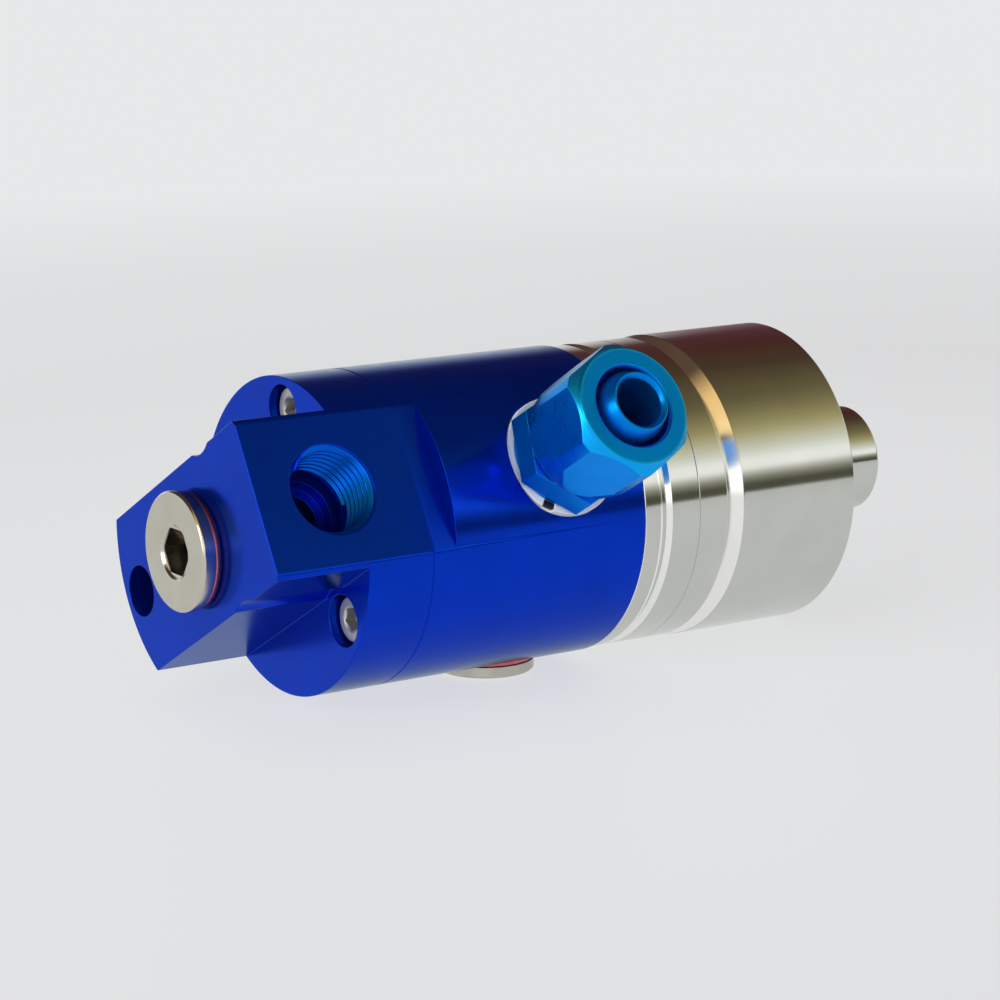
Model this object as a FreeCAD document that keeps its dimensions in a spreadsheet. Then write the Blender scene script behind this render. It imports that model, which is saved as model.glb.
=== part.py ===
import FreeCAD, Part
import math
import os
import Sketcher

# Hydraulic rotary union: a blue two-piece stator with a radial inlet, a drain fitting and two screw plugs, and a
# steel front end whose last cylinder, the rotor flange, turns with the spindle that its spigot enters.
# The union's axis is X. The origin is the centre of the rotor flange's rear face, the spigot points along +X,
# and Z is up. "Outward" for a radial piece means away from the union's axis.

DOC = FreeCAD.newDocument("RotaryUnion")
SHEET = DOC.addObject("Spreadsheet::Sheet", "Sizes")

# Driving sizes in millimetres and degrees.
SIZES = [
    ("body_diameter", 59.0, "outside of cap, housing and rotor flange"),
    ("front_step", 0.3, "steel front pieces inside the body's outside, radial"),
    ("block_length", 18.8, "square block in front of the cap's flange"),
    ("flat_depth", 3.4, "body's outside to the milled port flat"),
    ("flat_overrun", 4.8, "port flat's run onto the housing"),
    ("cap_flange_length", 13.4, "cap's round flange"),
    ("housing_length", 46.7, "blue housing"),
    ("lock_ring_length", 4.6, "steel ring beside the housing"),
    ("lock_gap", 1.1, "groove between lock ring and sleeve head"),
    ("sleeve_head_length", 7.4, "head of the bearing sleeve"),
    ("sleeve_chamfer", 1.2, "chamfer on the sleeve head's edge"),
    ("cover_length", 6.9, "front cover"),
    ("running_gap", 0.5, "cover to rotor flange"),
    ("cone_length", 2.8, "45 degree cone on the rotor flange"),
    ("flange_length", 27.5, "rotor flange's cylinder"),
    ("spigot_length", 22.8, "rotor spigot"),
    ("spigot_diameter", 21.0, "rotor spigot"),
    ("spigot_chamfer", 1.0, "spigot's end chamfer"),
    ("spigot_seat_diameter", 16.0, "spigot's stub in the rotor flange"),
    ("spigot_seat_depth", 10.0, "spigot's stub in the rotor flange"),
    ("edge_break", 0.5, "small turned chamfers"),
    ("rotor_bore", 10.0, "flow passage through the rotor"),
    ("port_angle", 30.0, "inlet above the horizontal"),
    ("drain_angle", 29.6, "drain fitting above the horizontal"),
    ("port_thread", 16.66, "major diameter of the inlet and drain threads"),
    ("port_thread_depth", 11.5, "inlet port thread"),
    ("port_chamfer", 0.7, "countersink at a thread's mouth"),
    ("port_setback", 15.55, "block face to the inlet port's axis"),
    ("gallery_diameter", 11.5, "axial passage in the cap"),
    ("port_throat", 9.0, "passage from the inlet port to the gallery"),
    ("relief_length", 2.0, "relief groove below the port thread"),
    ("relief_depth", 0.6, "relief groove, radial"),
    ("seat_diameter", 12.6, "counterbore below the port's relief"),
    ("seat_depth", 2.4, "counterbore below the port's relief"),
    ("plug_flange_diameter", 22.0, "inlet plug's flange"),
    ("plug_flange_length", 2.5, "inlet plug's flange"),
    ("plug_thread_length", 10.0, "inlet plug's thread"),
    ("plug_socket", 8.0, "inlet plug's hexagon across flats"),
    ("plug_socket_depth", 7.0, "inlet plug's hexagon"),
    ("washer_thickness", 1.5, "copper and drain washers"),
    ("washer_play", 0.17, "washer bore over the thread, radial"),
    ("screw_count", 3, "cap screws"),
    ("screw_diameter", 5.0, "cap screw thread"),
    ("screw_head_diameter", 8.5, "cap screw head"),
    ("screw_head_length", 5.0, "cap screw head"),
    ("screw_socket", 4.0, "cap screw hexagon across flats"),
    ("screw_grip", 10.6, "cap screw thread in the housing"),
    ("screw_hole_depth", 13.0, "tapped hole in the housing"),
    ("screw_play", 0.25, "clearance hole over the screw, radial"),
    ("counterbore_diameter", 9.5, "pocket of a cap screw head"),
    ("counterbore_depth", 8.2, "pocket of a cap screw head"),
    ("cutter_diameter", 12.4, "tool clearance milled along the block's sides"),
    ("hub_length", 9.5, "cap's register inside the housing"),
    ("register_play", 0.03, "register in its bore, radial"),
    ("sleeve_play", 0.3, "sleeve end to the bottom of its bore"),
    ("sleeve_lip_length", 1.2, "inner shoulder of the bearing sleeve"),
    ("sleeve_lip_height", 1.4, "inner shoulder of the bearing sleeve"),
    ("bearing_bore", 20.0, "ball bearing"),
    ("bearing_height", 6.0, "ball bearing, radial"),
    ("bearing_width", 7.0, "ball bearing"),
    ("bearing_wall", 1.6, "thickness of a bearing's rings"),
    ("ball_diameter", 3.4, "bearing ball"),
    ("ball_play", 0.1, "ball in its groove and pocket"),
    ("ball_count", 12, "balls in a bearing"),
    ("cage_thickness", 1.2, "bearing cage, radial"),
    ("cage_width", 4.6, "bearing cage"),
    ("spacer_length", 2.0, "rings between the two bearings"),
    ("cover_register", 2.6, "cover's register in the sleeve"),
    ("cover_bore_play", 0.7, "cover's inner bore over the collar, radial"),
    ("collar_height", 2.5, "rotor's collar over its shaft, radial"),
    ("lip_seal_height", 5.0, "lip seal, radial"),
    ("lip_seal_width", 6.0, "lip seal"),
    ("lip_case_thickness", 1.1, "lip seal's case wall"),
    ("lip_play", 0.04, "lip over the collar, radial"),
    ("circlip_thickness", 1.2, "shaft circlip"),
    ("circlip_depth", 0.7, "circlip groove, radial"),
    ("circlip_height", 2.6, "circlip, radial"),
    ("circlip_opening", 8.0, "width of the circlip's opening"),
    ("shaft_land", 1.0, "shaft between circlip and seal head"),
    ("nose_step", 2.0, "rotor's threaded nose below its shaft, radial"),
    ("seal_head_length", 6.5, "seal head"),
    ("seal_recess", 2.5, "recess of both seal rings"),
    ("rotor_ring_length", 4.5, "rotating seal ring"),
    ("stator_ring_length", 5.0, "stationary seal ring"),
    ("seal_film", 0.05, "gap between the lapped seal faces"),
    ("seal_face_relief", 1.6, "step beside the narrow seal face"),
    ("carrier_flange_length", 5.5, "flange of the seal carrier"),
    ("tube_wall", 3.0, "tube of the seal carrier"),
    ("tube_length", 22.0, "tube of the seal carrier"),
    ("tube_play", 0.03, "tube in the cap, radial"),
    ("tube_run_out", 2.0, "room behind the tube in the cap"),
    ("spring_wire", 1.8, "seal spring"),
    ("spring_turns", 4.0, "seal spring"),
    ("spring_runs", 16, "straight runs that stand for one turn of the spring"),
    ("spring_pocket", 2.0, "spring's pocket in the cap, deep"),
    ("spring_play", 0.6, "spring's pocket over the spring, radial"),
    ("pin_diameter", 3.0, "anti-rotation pin"),
    ("pin_seat", 4.0, "pin's depth in the cap"),
    ("pin_reach", 2.8, "pin's reach into the carrier's notch"),
    ("pin_play", 0.15, "notch beside the pin"),
    ("o_ring_thickness", 1.9, "squeezed O-rings of cap, tube and sleeve"),
    ("o_ring_side_play", 0.25, "O-ring groove beside its ring"),
    ("o_ring_setback", 1.2, "cap joint to the cap's O-ring groove"),
    ("face_ring_thickness", 2.1, "O-ring in the rotor flange's rear face"),
    ("face_ring_circle", 29.4, "O-ring in the rotor flange's rear face"),
    ("flange_bolt_circle", 42.0, "tapped holes in the rotor flange"),
    ("flange_bolt_count", 4, "tapped holes in the rotor flange"),
    ("flange_bolt_hole", 5.0, "tapped hole"),
    ("flange_bolt_depth", 12.0, "tapped hole"),
    ("drain_margin", 0.97, "bearing sleeve's end to the drain thread"),
    ("spot_depth", 2.2, "body's outside to the spot faces"),
    ("spot_margin", 0.35, "spot face around what sits on it"),
    ("drain_thread_length", 7.8, "drain fitting's thread"),
    ("drain_washer_diameter", 22.7, "drain washer"),
    ("drain_hex", 20.7, "drain body's hexagon across flats"),
    ("drain_collar", 1.2, "round collar below the drain body's hexagon"),
    ("drain_hex_length", 5.4, "drain body's hexagon"),
    ("drain_hex_turn", 22.0, "turn of the drain body's hexagon"),
    ("stem_diameter", 18.0, "drain body's thread for the union nut"),
    ("stem_length", 9.0, "drain body's thread for the union nut"),
    ("nut_gap", 0.2, "drain body's hexagon to the nut"),
    ("nut_length", 18.6, "union nut"),
    ("nut_wall", 2.6, "union nut's flats over its thread"),
    ("nut_corner", 1.15, "union nut's turned corners over its flats"),
    ("nut_face_step", 0.5, "union nut's front face inside its flats"),
    ("nut_foot_wall", 1.9, "union nut's foot over its thread"),
    ("nut_turn", 28.0, "turn of the union nut's flats"),
    ("nut_front_cone", 2.2, "union nut's front chamfer"),
    ("nut_foot_cone", 6.0, "union nut's foot taper"),
    ("nut_bore", 15.0, "union nut's hose opening"),
    ("nut_lip_length", 8.5, "union nut in front of its thread"),
    ("nipple_diameter", 10.9, "hose nipple's tip"),
    ("nipple_barb", 13.1, "hose nipple's barb"),
    ("nipple_bore", 9.0, "hose nipple"),
    ("nipple_reach", 2.5, "nipple in front of the nut"),
    ("barb_setback", 2.6, "nipple's tip to its barb"),
    ("drain_plug_thread", 13.16, "drain plug's thread"),
    ("drain_plug_thread_length", 7.0, "drain plug's thread"),
    ("drain_plug_diameter", 18.8, "drain plug's flange"),
    ("drain_plug_flange", 2.2, "drain plug's flange"),
    ("drain_plug_socket", 6.0, "drain plug's hexagon across flats"),
    ("drain_plug_socket_depth", 5.0, "drain plug's hexagon"),
]

# Sizes that follow from the ones above.
TIED_SIZES = [
    ("front_diameter", "body_diameter - 2 * front_step", "outside of the steel front pieces"),
    ("block_width", "body_diameter * 29.8 / 59", "block across its two milled sides"),
    ("flat_height", "body_diameter / 2 - flat_depth", "union axis to the milled port flat"),
    ("spot_height", "body_diameter / 2 - spot_depth", "union axis to the spot faces"),
    ("screw_circle", "body_diameter * 46.6 / 59", "bolt circle of the cap screws"),
    ("sleeve_diameter", "body_diameter * 50 / 59", "bearing sleeve inside the housing"),
    ("cavity_diameter", "body_diameter * 36 / 59", "drain cavity of the housing"),
    ("bearing_diameter", "bearing_bore + 2 * bearing_height", "ball bearing"),
    ("collar_diameter", "bearing_bore + 2 * collar_height", "rotor collar under the lip seal"),
    ("lip_seal_diameter", "collar_diameter + 2 * lip_seal_height", "lip seal"),
    ("nose_diameter", "bearing_bore - 2 * nose_step", "threaded nose of the rotor"),
    ("seal_head_diameter", "cavity_diameter * 32 / 36", "seal head on the rotor's nose"),
    ("seal_head_flats", "seal_head_diameter * 28 / 32", "spanner flats of the seal head"),
    ("seal_ring_diameter", "cavity_diameter * 26 / 36", "both seal rings"),
    ("seal_ring_bore", "seal_ring_diameter / 2", "both seal rings"),
    ("carrier_diameter", "cavity_diameter * 34 / 36", "flange of the seal carrier"),
    ("tube_diameter", "cavity_diameter * 17 / 36", "tube of the seal carrier"),
    ("tube_bore", "tube_diameter - 2 * tube_wall", "tube of the seal carrier"),
    ("spring_diameter", "cavity_diameter * 23.4 / 36", "seal spring, outside"),
    ("pin_circle", "cavity_diameter * 30.8 / 36", "circle of the anti-rotation pins"),
    ("nut_flats", "stem_diameter + 2 * nut_wall", "union nut across flats"),
    ("nut_diameter", "nut_flats + 2 * nut_corner", "union nut's bar"),
    ("nut_face_diameter", "nut_flats - 2 * nut_face_step", "union nut's front face"),
    ("nut_foot_diameter", "stem_diameter + 2 * nut_foot_wall", "union nut's foot"),
]

for row, (alias, value, note) in enumerate(SIZES + TIED_SIZES, start=1):
    SHEET.set(f"A{row}", alias)
    SHEET.set(f"B{row}", f"={value}" if isinstance(value, str) else str(value))
    SHEET.set(f"C{row}", note)
    SHEET.setAlias(f"B{row}", alias)
DOC.recompute()


def size(alias):
    """Full expression name of one driving size."""
    return f"Sizes.{alias}"


def half(alias):
    """Expression for half of one driving size."""
    return f"Sizes.{alias} / 2"


def number(expression):
    """Value that an expression has now."""
    return float(SHEET.evalExpression(expression))


# Stations along the axis, from the rotor flange's rear face towards the cap.
FLANGE_EDGE = f"-{size('flange_length')}"
ROTOR_FACE = f"{FLANGE_EDGE} - {size('cone_length')}"
COVER_FACE = f"{ROTOR_FACE} - {size('running_gap')}"
COVER_JOINT = f"{COVER_FACE} - {size('cover_length')}"
SLEEVE_SHOULDER = f"{COVER_JOINT} - {size('sleeve_head_length')}"
RING_FACE = f"{SLEEVE_SHOULDER} - {size('lock_gap')}"
HOUSING_FACE = f"{RING_FACE} - {size('lock_ring_length')}"
CAP_JOINT = f"{HOUSING_FACE} - {size('housing_length')}"
CAP_SHOULDER = f"{CAP_JOINT} - {size('cap_flange_length')}"
BLOCK_FACE = f"{CAP_SHOULDER} - {size('block_length')}"
HUB_FACE = f"{CAP_JOINT} + {size('hub_length')}"

BEARING_A = f"{COVER_JOINT} - {size('cover_register')}"
SPACER_FACE = f"{BEARING_A} - {size('bearing_width')}"
BEARING_B = f"{SPACER_FACE} - {size('spacer_length')}"
BEARING_END = f"{BEARING_B} - {size('bearing_width')}"
SLEEVE_END = f"{BEARING_END} - {size('sleeve_lip_length')}"
CIRCLIP_END = f"{BEARING_END} - {size('circlip_thickness')}"
SEAL_HEAD_BACK = f"{CIRCLIP_END} - {size('shaft_land')}"
SEAL_HEAD_FRONT = f"{SEAL_HEAD_BACK} - {size('seal_head_length')}"
NOSE_END = f"{SEAL_HEAD_FRONT} + {size('seal_recess')}"
ROTOR_SEAL_FACE = f"{NOSE_END} - {size('rotor_ring_length')}"
STATOR_SEAL_FACE = f"{ROTOR_SEAL_FACE} - {size('seal_film')}"
STATOR_RING_BACK = f"{STATOR_SEAL_FACE} - {size('stator_ring_length')}"
CARRIER_FRONT = f"{STATOR_RING_BACK} + {size('seal_recess')}"
CARRIER_BACK = f"{CARRIER_FRONT} - {size('carrier_flange_length')}"
TUBE_END = f"{CARRIER_BACK} - {size('tube_length')}"
TUBE_BORE_END = f"{TUBE_END} - {size('tube_run_out')}"
SPRING_SEAT = f"{HUB_FACE} - {size('spring_pocket')}"
CAP_GROOVE = f"{CAP_JOINT} + {size('o_ring_setback')}"
LIP_SEAL_BACK = f"{COVER_FACE} - {size('lip_seal_width')}"
INLET_X = f"{BLOCK_FACE} + {size('port_setback')}"
DRAIN_X = f"{SLEEVE_END} - {half('port_thread')} - {size('drain_margin')}"
GROOVE_WIDTH = f"{size('o_ring_thickness')} + 2 * {size('o_ring_side_play')}"

# Radial pieces lean by this angle about X from pointing straight up.
INLET_LEAN = f"90 - {size('port_angle')}"
DRAIN_LEAN = f"90 - {size('drain_angle')}"
PLUG_LEAN = "180"
HEX_TO_CORNER = "2 * cos(30 deg)"

AXES = {"X": FreeCAD.Vector(1, 0, 0), "Y": FreeCAD.Vector(0, 1, 0), "Z": FreeCAD.Vector(0, 0, 1)}
PARTS = []


def keep(piece, label):
    """Names a finished sub-part and lists it for export."""
    piece.Label = label
    PARTS.append(piece)
    return piece


def bind(thing, **expressions):
    """Ties properties of an object to expressions, with two underscores standing for a dot."""
    for prop, expression in expressions.items():
        thing.setExpression(prop.replace("__", "."), expression)


def origin_plane(body, role):
    """One of a body's own origin planes."""
    return next(plane for plane in body.Origin.OriginFeatures if plane.Role == role)


def new_sketch(body, name, role, spin_axis="Z", spin="0", **offset):
    """Sketch on one of the body's planes, turned about and moved along the plane's own axes."""
    sketch = body.newObject("Sketcher::SketchObject", name)
    sketch.AttachmentSupport = [(origin_plane(body, role), "")]
    sketch.MapMode = "FlatFace"
    turn = FreeCAD.Rotation(AXES[spin_axis], number(spin))
    sketch.AttachmentOffset = FreeCAD.Placement(FreeCAD.Vector(0, 0, 0), turn)
    if spin != "0":
        bind(sketch, AttachmentOffset__Rotation__Angle=spin)
    for direction, expression in offset.items():
        sketch.setExpression(f"AttachmentOffset.Base.{direction}", expression)
    return sketch


def place_point(sketch, geometry, end, across, up):
    """Fixes one point of a sketch at two expressions."""
    for kind, expression, axis in (("DistanceX", across, -2), ("DistanceY", up, -1)):
        if expression == "0":
            sketch.addConstraint(Sketcher.Constraint("PointOnObject", geometry, end, axis))
            continue
        index = sketch.addConstraint(Sketcher.Constraint(kind, -1, 1, geometry, end, number(expression)))
        sketch.setExpression(f"Constraints[{index}]", expression)


def add_outline(sketch, corners):
    """Closed outline of straight lines through corners given as pairs of expressions."""
    spots = [FreeCAD.Vector(number(across), number(up), 0) for across, up in corners]
    count = len(corners)
    lines = [sketch.addGeometry(Part.LineSegment(spots[i], spots[(i + 1) % count]), False) for i in range(count)]
    for i, line in enumerate(lines):
        sketch.addConstraint(Sketcher.Constraint("Coincident", line, 2, lines[(i + 1) % count], 1))
        place_point(sketch, line, 1, *corners[i])


def add_circle(sketch, across, up, radius):
    """Circle whose centre and radius are expressions."""
    centre = FreeCAD.Vector(number(across), number(up), 0)
    circle = sketch.addGeometry(Part.Circle(centre, AXES["Z"], number(radius)), False)
    place_point(sketch, circle, 3, across, up)
    index = sketch.addConstraint(Sketcher.Constraint("Radius", circle, number(radius)))
    sketch.setExpression(f"Constraints[{index}]", radius)


def new_body(name):
    """Empty solid body."""
    return DOC.addObject("PartDesign::Body", name)


def revolve(body, name, sketch, axis="H_Axis", kind="Revolution"):
    """Turns a sketch once around one of its axes, as added or removed material."""
    feature = body.newObject(f"PartDesign::{kind}", name)
    feature.Profile = sketch
    feature.ReferenceAxis = (sketch, [axis])
    feature.Angle = 360
    return feature


def pocket(body, name, sketch, length, reverse=False):
    """Cuts a sketch into the body."""
    feature = body.newObject("PartDesign::Pocket", name)
    feature.Profile = sketch
    bind(feature, Length=length)
    feature.Reversed = reverse
    return feature


def polar(body, name, feature, count):
    """Repeats a cut evenly around the union's axis."""
    pattern = body.newObject("PartDesign::PolarPattern", name)
    pattern.Originals = [feature]
    pattern.Axis = (next(a for a in body.Origin.OriginFeatures if a.Role == "X_Axis"), [""])
    pattern.Angle = 360
    bind(pattern, Occurrences=count)
    body.Tip = pattern
    return pattern


def turned(name, corners):
    """Body turned about the union's axis, from corners given as station and radius."""
    body = new_body(name)
    sketch = new_sketch(body, f"{name}_profile", "XY_Plane")
    add_outline(sketch, corners)
    revolve(body, f"{name}_turned", sketch)
    return body


def turned_ring(name, start, end, inner, outer):
    """Plain ring about the union's axis."""
    return turned(name, [(start, inner), (end, inner), (end, outer), (start, outer)])


def radial_turned(name, corners, station, lean):
    """Body turned about its own outward axis, from corners given as radius and height above the union's axis."""
    body = new_body(name)
    sketch = new_sketch(body, f"{name}_profile", "XZ_Plane")
    add_outline(sketch, corners)
    revolve(body, f"{name}_turned", sketch, axis="V_Axis")
    stand(body, station, lean)
    return body


def stand(piece, station, lean):
    """Stands a piece made upright on its station, leaning about X."""
    piece.Placement = FreeCAD.Placement(FreeCAD.Vector(number(station), 0, 0),
                                        FreeCAD.Rotation(AXES["X"], number(lean)))
    bind(piece, Placement__Base__x=station)
    if lean != PLUG_LEAN:
        bind(piece, Placement__Rotation__Angle=lean)


def rod(name, start, end, radius, height="0"):
    """Cylinder parallel to the union's axis, at a height above it."""
    piece = DOC.addObject("Part::Cylinder", name)
    piece.Placement = FreeCAD.Placement(FreeCAD.Vector(0, 0, 0), FreeCAD.Rotation(AXES["Y"], 90))
    bind(piece, Radius=radius, Height=f"({end}) - ({start})", Placement__Base__x=start)
    if height != "0":
        bind(piece, Placement__Base__z=height)
    return piece


def torus(name, station, ring_radius, wire_radius):
    """Ring of round section about the union's axis."""
    piece = DOC.addObject("Part::Torus", name)
    piece.Placement = FreeCAD.Placement(FreeCAD.Vector(0, 0, 0), FreeCAD.Rotation(AXES["Y"], 90))
    bind(piece, Radius1=ring_radius, Radius2=wire_radius, Placement__Base__x=station)
    return piece


def prism(name, flats, length, spin="0"):
    """Upright hexagonal bar with a given width across flats."""
    piece = DOC.addObject("Part::Prism", name)
    piece.Polygon = 6
    bind(piece, Circumradius=f"({flats}) / ({HEX_TO_CORNER})", Height=length)
    if spin != "0":
        piece.Placement = FreeCAD.Placement(FreeCAD.Vector(0, 0, 0), FreeCAD.Rotation(AXES["Z"], number(spin)))
        bind(piece, Placement__Rotation__Angle=spin)
    return piece


def cut(name, base, tool):
    """First piece without the second."""
    piece = DOC.addObject("Part::Cut", name)
    piece.Base = base
    piece.Tool = tool
    return piece


def join(name, pieces):
    """Several pieces made one."""
    piece = DOC.addObject("Part::MultiFuse", name)
    piece.Shapes = pieces
    return piece


def overlap(name, first, second):
    """What two pieces have in common."""
    piece = DOC.addObject("Part::MultiCommon", name)
    piece.Shapes = [first, second]
    return piece


def group(name, pieces):
    """Separate solids kept as one sub-part."""
    piece = DOC.addObject("Part::Compound", name)
    piece.Links = pieces
    return piece


def around(piece, angle):
    """Turns a piece about the union's axis by an expression."""
    piece.Placement = FreeCAD.Placement(FreeCAD.Vector(0, 0, 0), FreeCAD.Rotation(AXES["X"], number(angle)))
    bind(piece, Placement__Rotation__Angle=angle)
    return piece


def screw_angle(index):
    """Lean of one cap screw: the first lies opposite the inlet port."""
    return f"{INLET_LEAN} + 180 + {index} * 360 / {size('screw_count')}"


def end_cap():
    """Cap: round flange, milled block with the inlet, and a hub that enters the housing."""
    rim = half("body_diameter")
    hub = f"{half('cavity_diameter')} - {size('register_play')}"
    tube = f"{half('tube_diameter')} + {size('tube_play')}"
    pocket_radius = f"{half('spring_diameter')} + {size('spring_play')}"
    thread = half("port_thread")
    mouth = f"{thread} + {size('port_chamfer')}"
    thread_end = f"{BLOCK_FACE} + {size('plug_thread_length')}"
    groove_end = f"{CAP_GROOVE} + {GROOVE_WIDTH}"
    hub_floor = f"{hub} + {size('register_play')} - {size('o_ring_thickness')}"
    tube_floor = f"{tube} + {size('o_ring_thickness')}"
    body = turned("cap_blank", [
        (BLOCK_FACE, mouth), (f"{BLOCK_FACE} + {size('port_chamfer')}", thread), (thread_end, thread),
        (f"{thread_end} + {thread} - {half('gallery_diameter')}", half("gallery_diameter")),
        (TUBE_BORE_END, half("gallery_diameter")), (TUBE_BORE_END, tube),
        (CAP_GROOVE, tube), (CAP_GROOVE, tube_floor), (groove_end, tube_floor), (groove_end, tube),
        (SPRING_SEAT, tube), (SPRING_SEAT, pocket_radius), (HUB_FACE, pocket_radius),
        (HUB_FACE, hub), (groove_end, hub), (groove_end, hub_floor), (CAP_GROOVE, hub_floor), (CAP_GROOVE, hub),
        (CAP_JOINT, hub), (CAP_JOINT, rim), (BLOCK_FACE, rim),
    ])
    lean = f"180 - {size('port_angle')}"

    sides = new_sketch(body, "block_sides", "YZ_Plane", "Z", lean, z=BLOCK_FACE)
    reach = size("body_diameter")
    for sign in ("", "-"):
        near = f"{sign}{half('block_width')}"
        far = f"{sign}{reach}"
        add_outline(sides, [(f"-{reach}", near), (reach, near), (reach, far), (f"-{reach}", far)])
    pocket(body, "block_sides_milled", sides, size("block_length"), reverse=True)

    flat = new_sketch(body, "port_flat", "YZ_Plane", "Z", lean, z=BLOCK_FACE)
    floor = size("flat_height")
    add_outline(flat, [(floor, f"-{reach}"), (reach, f"-{reach}"), (reach, reach), (floor, reach)])
    pocket(body, "port_flat_milled", flat, f"{size('block_length')} + {size('cap_flange_length')}", reverse=True)

    bore = new_sketch(body, "inlet_port", "XZ_Plane", "X", INLET_LEAN, x=INLET_X)
    relief_top = f"{floor} - {size('port_thread_depth')}"
    relief_floor = f"{relief_top} - {size('relief_length')}"
    seat_floor = f"{relief_floor} - {size('seat_depth')}"
    relief_radius = f"{thread} + {size('relief_depth')}"
    add_outline(bore, [
        ("0", floor), (mouth, floor), (thread, f"{floor} - {size('port_chamfer')}"), (thread, relief_top),
        (relief_radius, relief_top), (relief_radius, relief_floor), (half("seat_diameter"), relief_floor),
        (half("seat_diameter"), seat_floor), (half("port_throat"), seat_floor), (half("port_throat"), "0"), ("0", "0"),
    ])
    revolve(body, "inlet_port_bored", bore, axis="V_Axis", kind="Groove")

    clearance = new_sketch(body, "cutter_paths", "YZ_Plane", "Z", lean, z=BLOCK_FACE)
    for sign in ("", "-"):
        add_circle(clearance, f"{half('screw_circle')} * cos(60 deg)", f"{sign}{half('screw_circle')} * sin(60 deg)",
                   half("cutter_diameter"))
    pocket(body, "cutter_paths_milled", clearance, size("block_length"), reverse=True)

    heads = new_sketch(body, "screw_pocket", "YZ_Plane", "Z", lean, z=BLOCK_FACE)
    add_circle(heads, f"-{half('screw_circle')}", "0", half("counterbore_diameter"))
    depth = f"{size('block_length')} + {size('counterbore_depth')}"
    first_pocket = pocket(body, "screw_pocket_bored", heads, depth, reverse=True)
    polar(body, "screw_pockets", first_pocket, size("screw_count"))

    holes = new_sketch(body, "screw_hole", "YZ_Plane", "Z", lean, z=BLOCK_FACE)
    add_circle(holes, f"-{half('screw_circle')}", "0", f"{half('screw_diameter')} + {size('screw_play')}")
    first_hole = pocket(body, "screw_hole_drilled", holes, f"{size('block_length')} + {size('cap_flange_length')}",
                        reverse=True)
    polar(body, "screw_holes", first_hole, size("screw_count"))

    pins = new_sketch(body, "pin_seats", "YZ_Plane", "Z", lean, z=HUB_FACE)
    for sign in ("", "-"):
        add_circle(pins, "0", f"{sign}{half('pin_circle')}", half("pin_diameter"))
    body.Tip = pocket(body, "pin_seats_drilled", pins, size("pin_seat"))

    # The cap is one piece, kept as its block and its flange with the hub.
    front = rod("block_room", BLOCK_FACE, CAP_SHOULDER, size("body_diameter"))
    keep(overlap("end_cap_block", body, front), "end_cap_block")
    keep(cut("end_cap_flange", body, front), "end_cap")


def housing():
    """Blue housing: bored for the bearing sleeve and the drain cavity, spot faced and tapped for both drains."""
    rim = half("body_diameter")
    sleeve = half("sleeve_diameter")
    cavity = half("cavity_diameter")
    bore_end = f"{SLEEVE_END} - {size('sleeve_play')}"
    body = turned("housing", [(CAP_JOINT, cavity), (bore_end, cavity), (bore_end, sleeve), (HOUSING_FACE, sleeve),
                              (HOUSING_FACE, rim), (CAP_JOINT, rim)])
    lean = f"180 - {size('port_angle')}"

    flat = new_sketch(body, "flat_end", "YZ_Plane", "Z", lean, z=CAP_JOINT)
    reach = size("body_diameter")
    floor = size("flat_height")
    add_outline(flat, [(floor, f"-{reach}"), (reach, f"-{reach}"), (reach, reach), (floor, reach)])
    pocket(body, "flat_end_milled", flat, size("flat_overrun"), reverse=True)

    drains = (("drain", DRAIN_LEAN, half("drain_washer_diameter"), half("port_thread")),
              ("drain_plug", PLUG_LEAN, half("drain_plug_diameter"), half("drain_plug_thread")))
    for name, turn, seat, thread in drains:
        bore = new_sketch(body, f"{name}_port", "XZ_Plane", "X", turn, x=DRAIN_X)
        spot = size("spot_height")
        spot_radius = f"{seat} + {size('spot_margin')}"
        add_outline(bore, [("0", "0"), ("0", reach), (spot_radius, reach), (spot_radius, spot),
                           (f"{thread} + {size('port_chamfer')}", spot), (thread, f"{spot} - {size('port_chamfer')}"),
                           (thread, "0")])
        revolve(body, f"{name}_port_bored", bore, axis="V_Axis", kind="Groove")

    holes = new_sketch(body, "screw_thread", "YZ_Plane", "Z", lean, z=CAP_JOINT)
    add_circle(holes, f"-{half('screw_circle')}", "0", half("screw_diameter"))
    first = pocket(body, "screw_thread_tapped", holes, size("screw_hole_depth"), reverse=True)
    polar(body, "screw_threads", first, size("screw_count"))
    keep(body, "housing")


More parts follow.
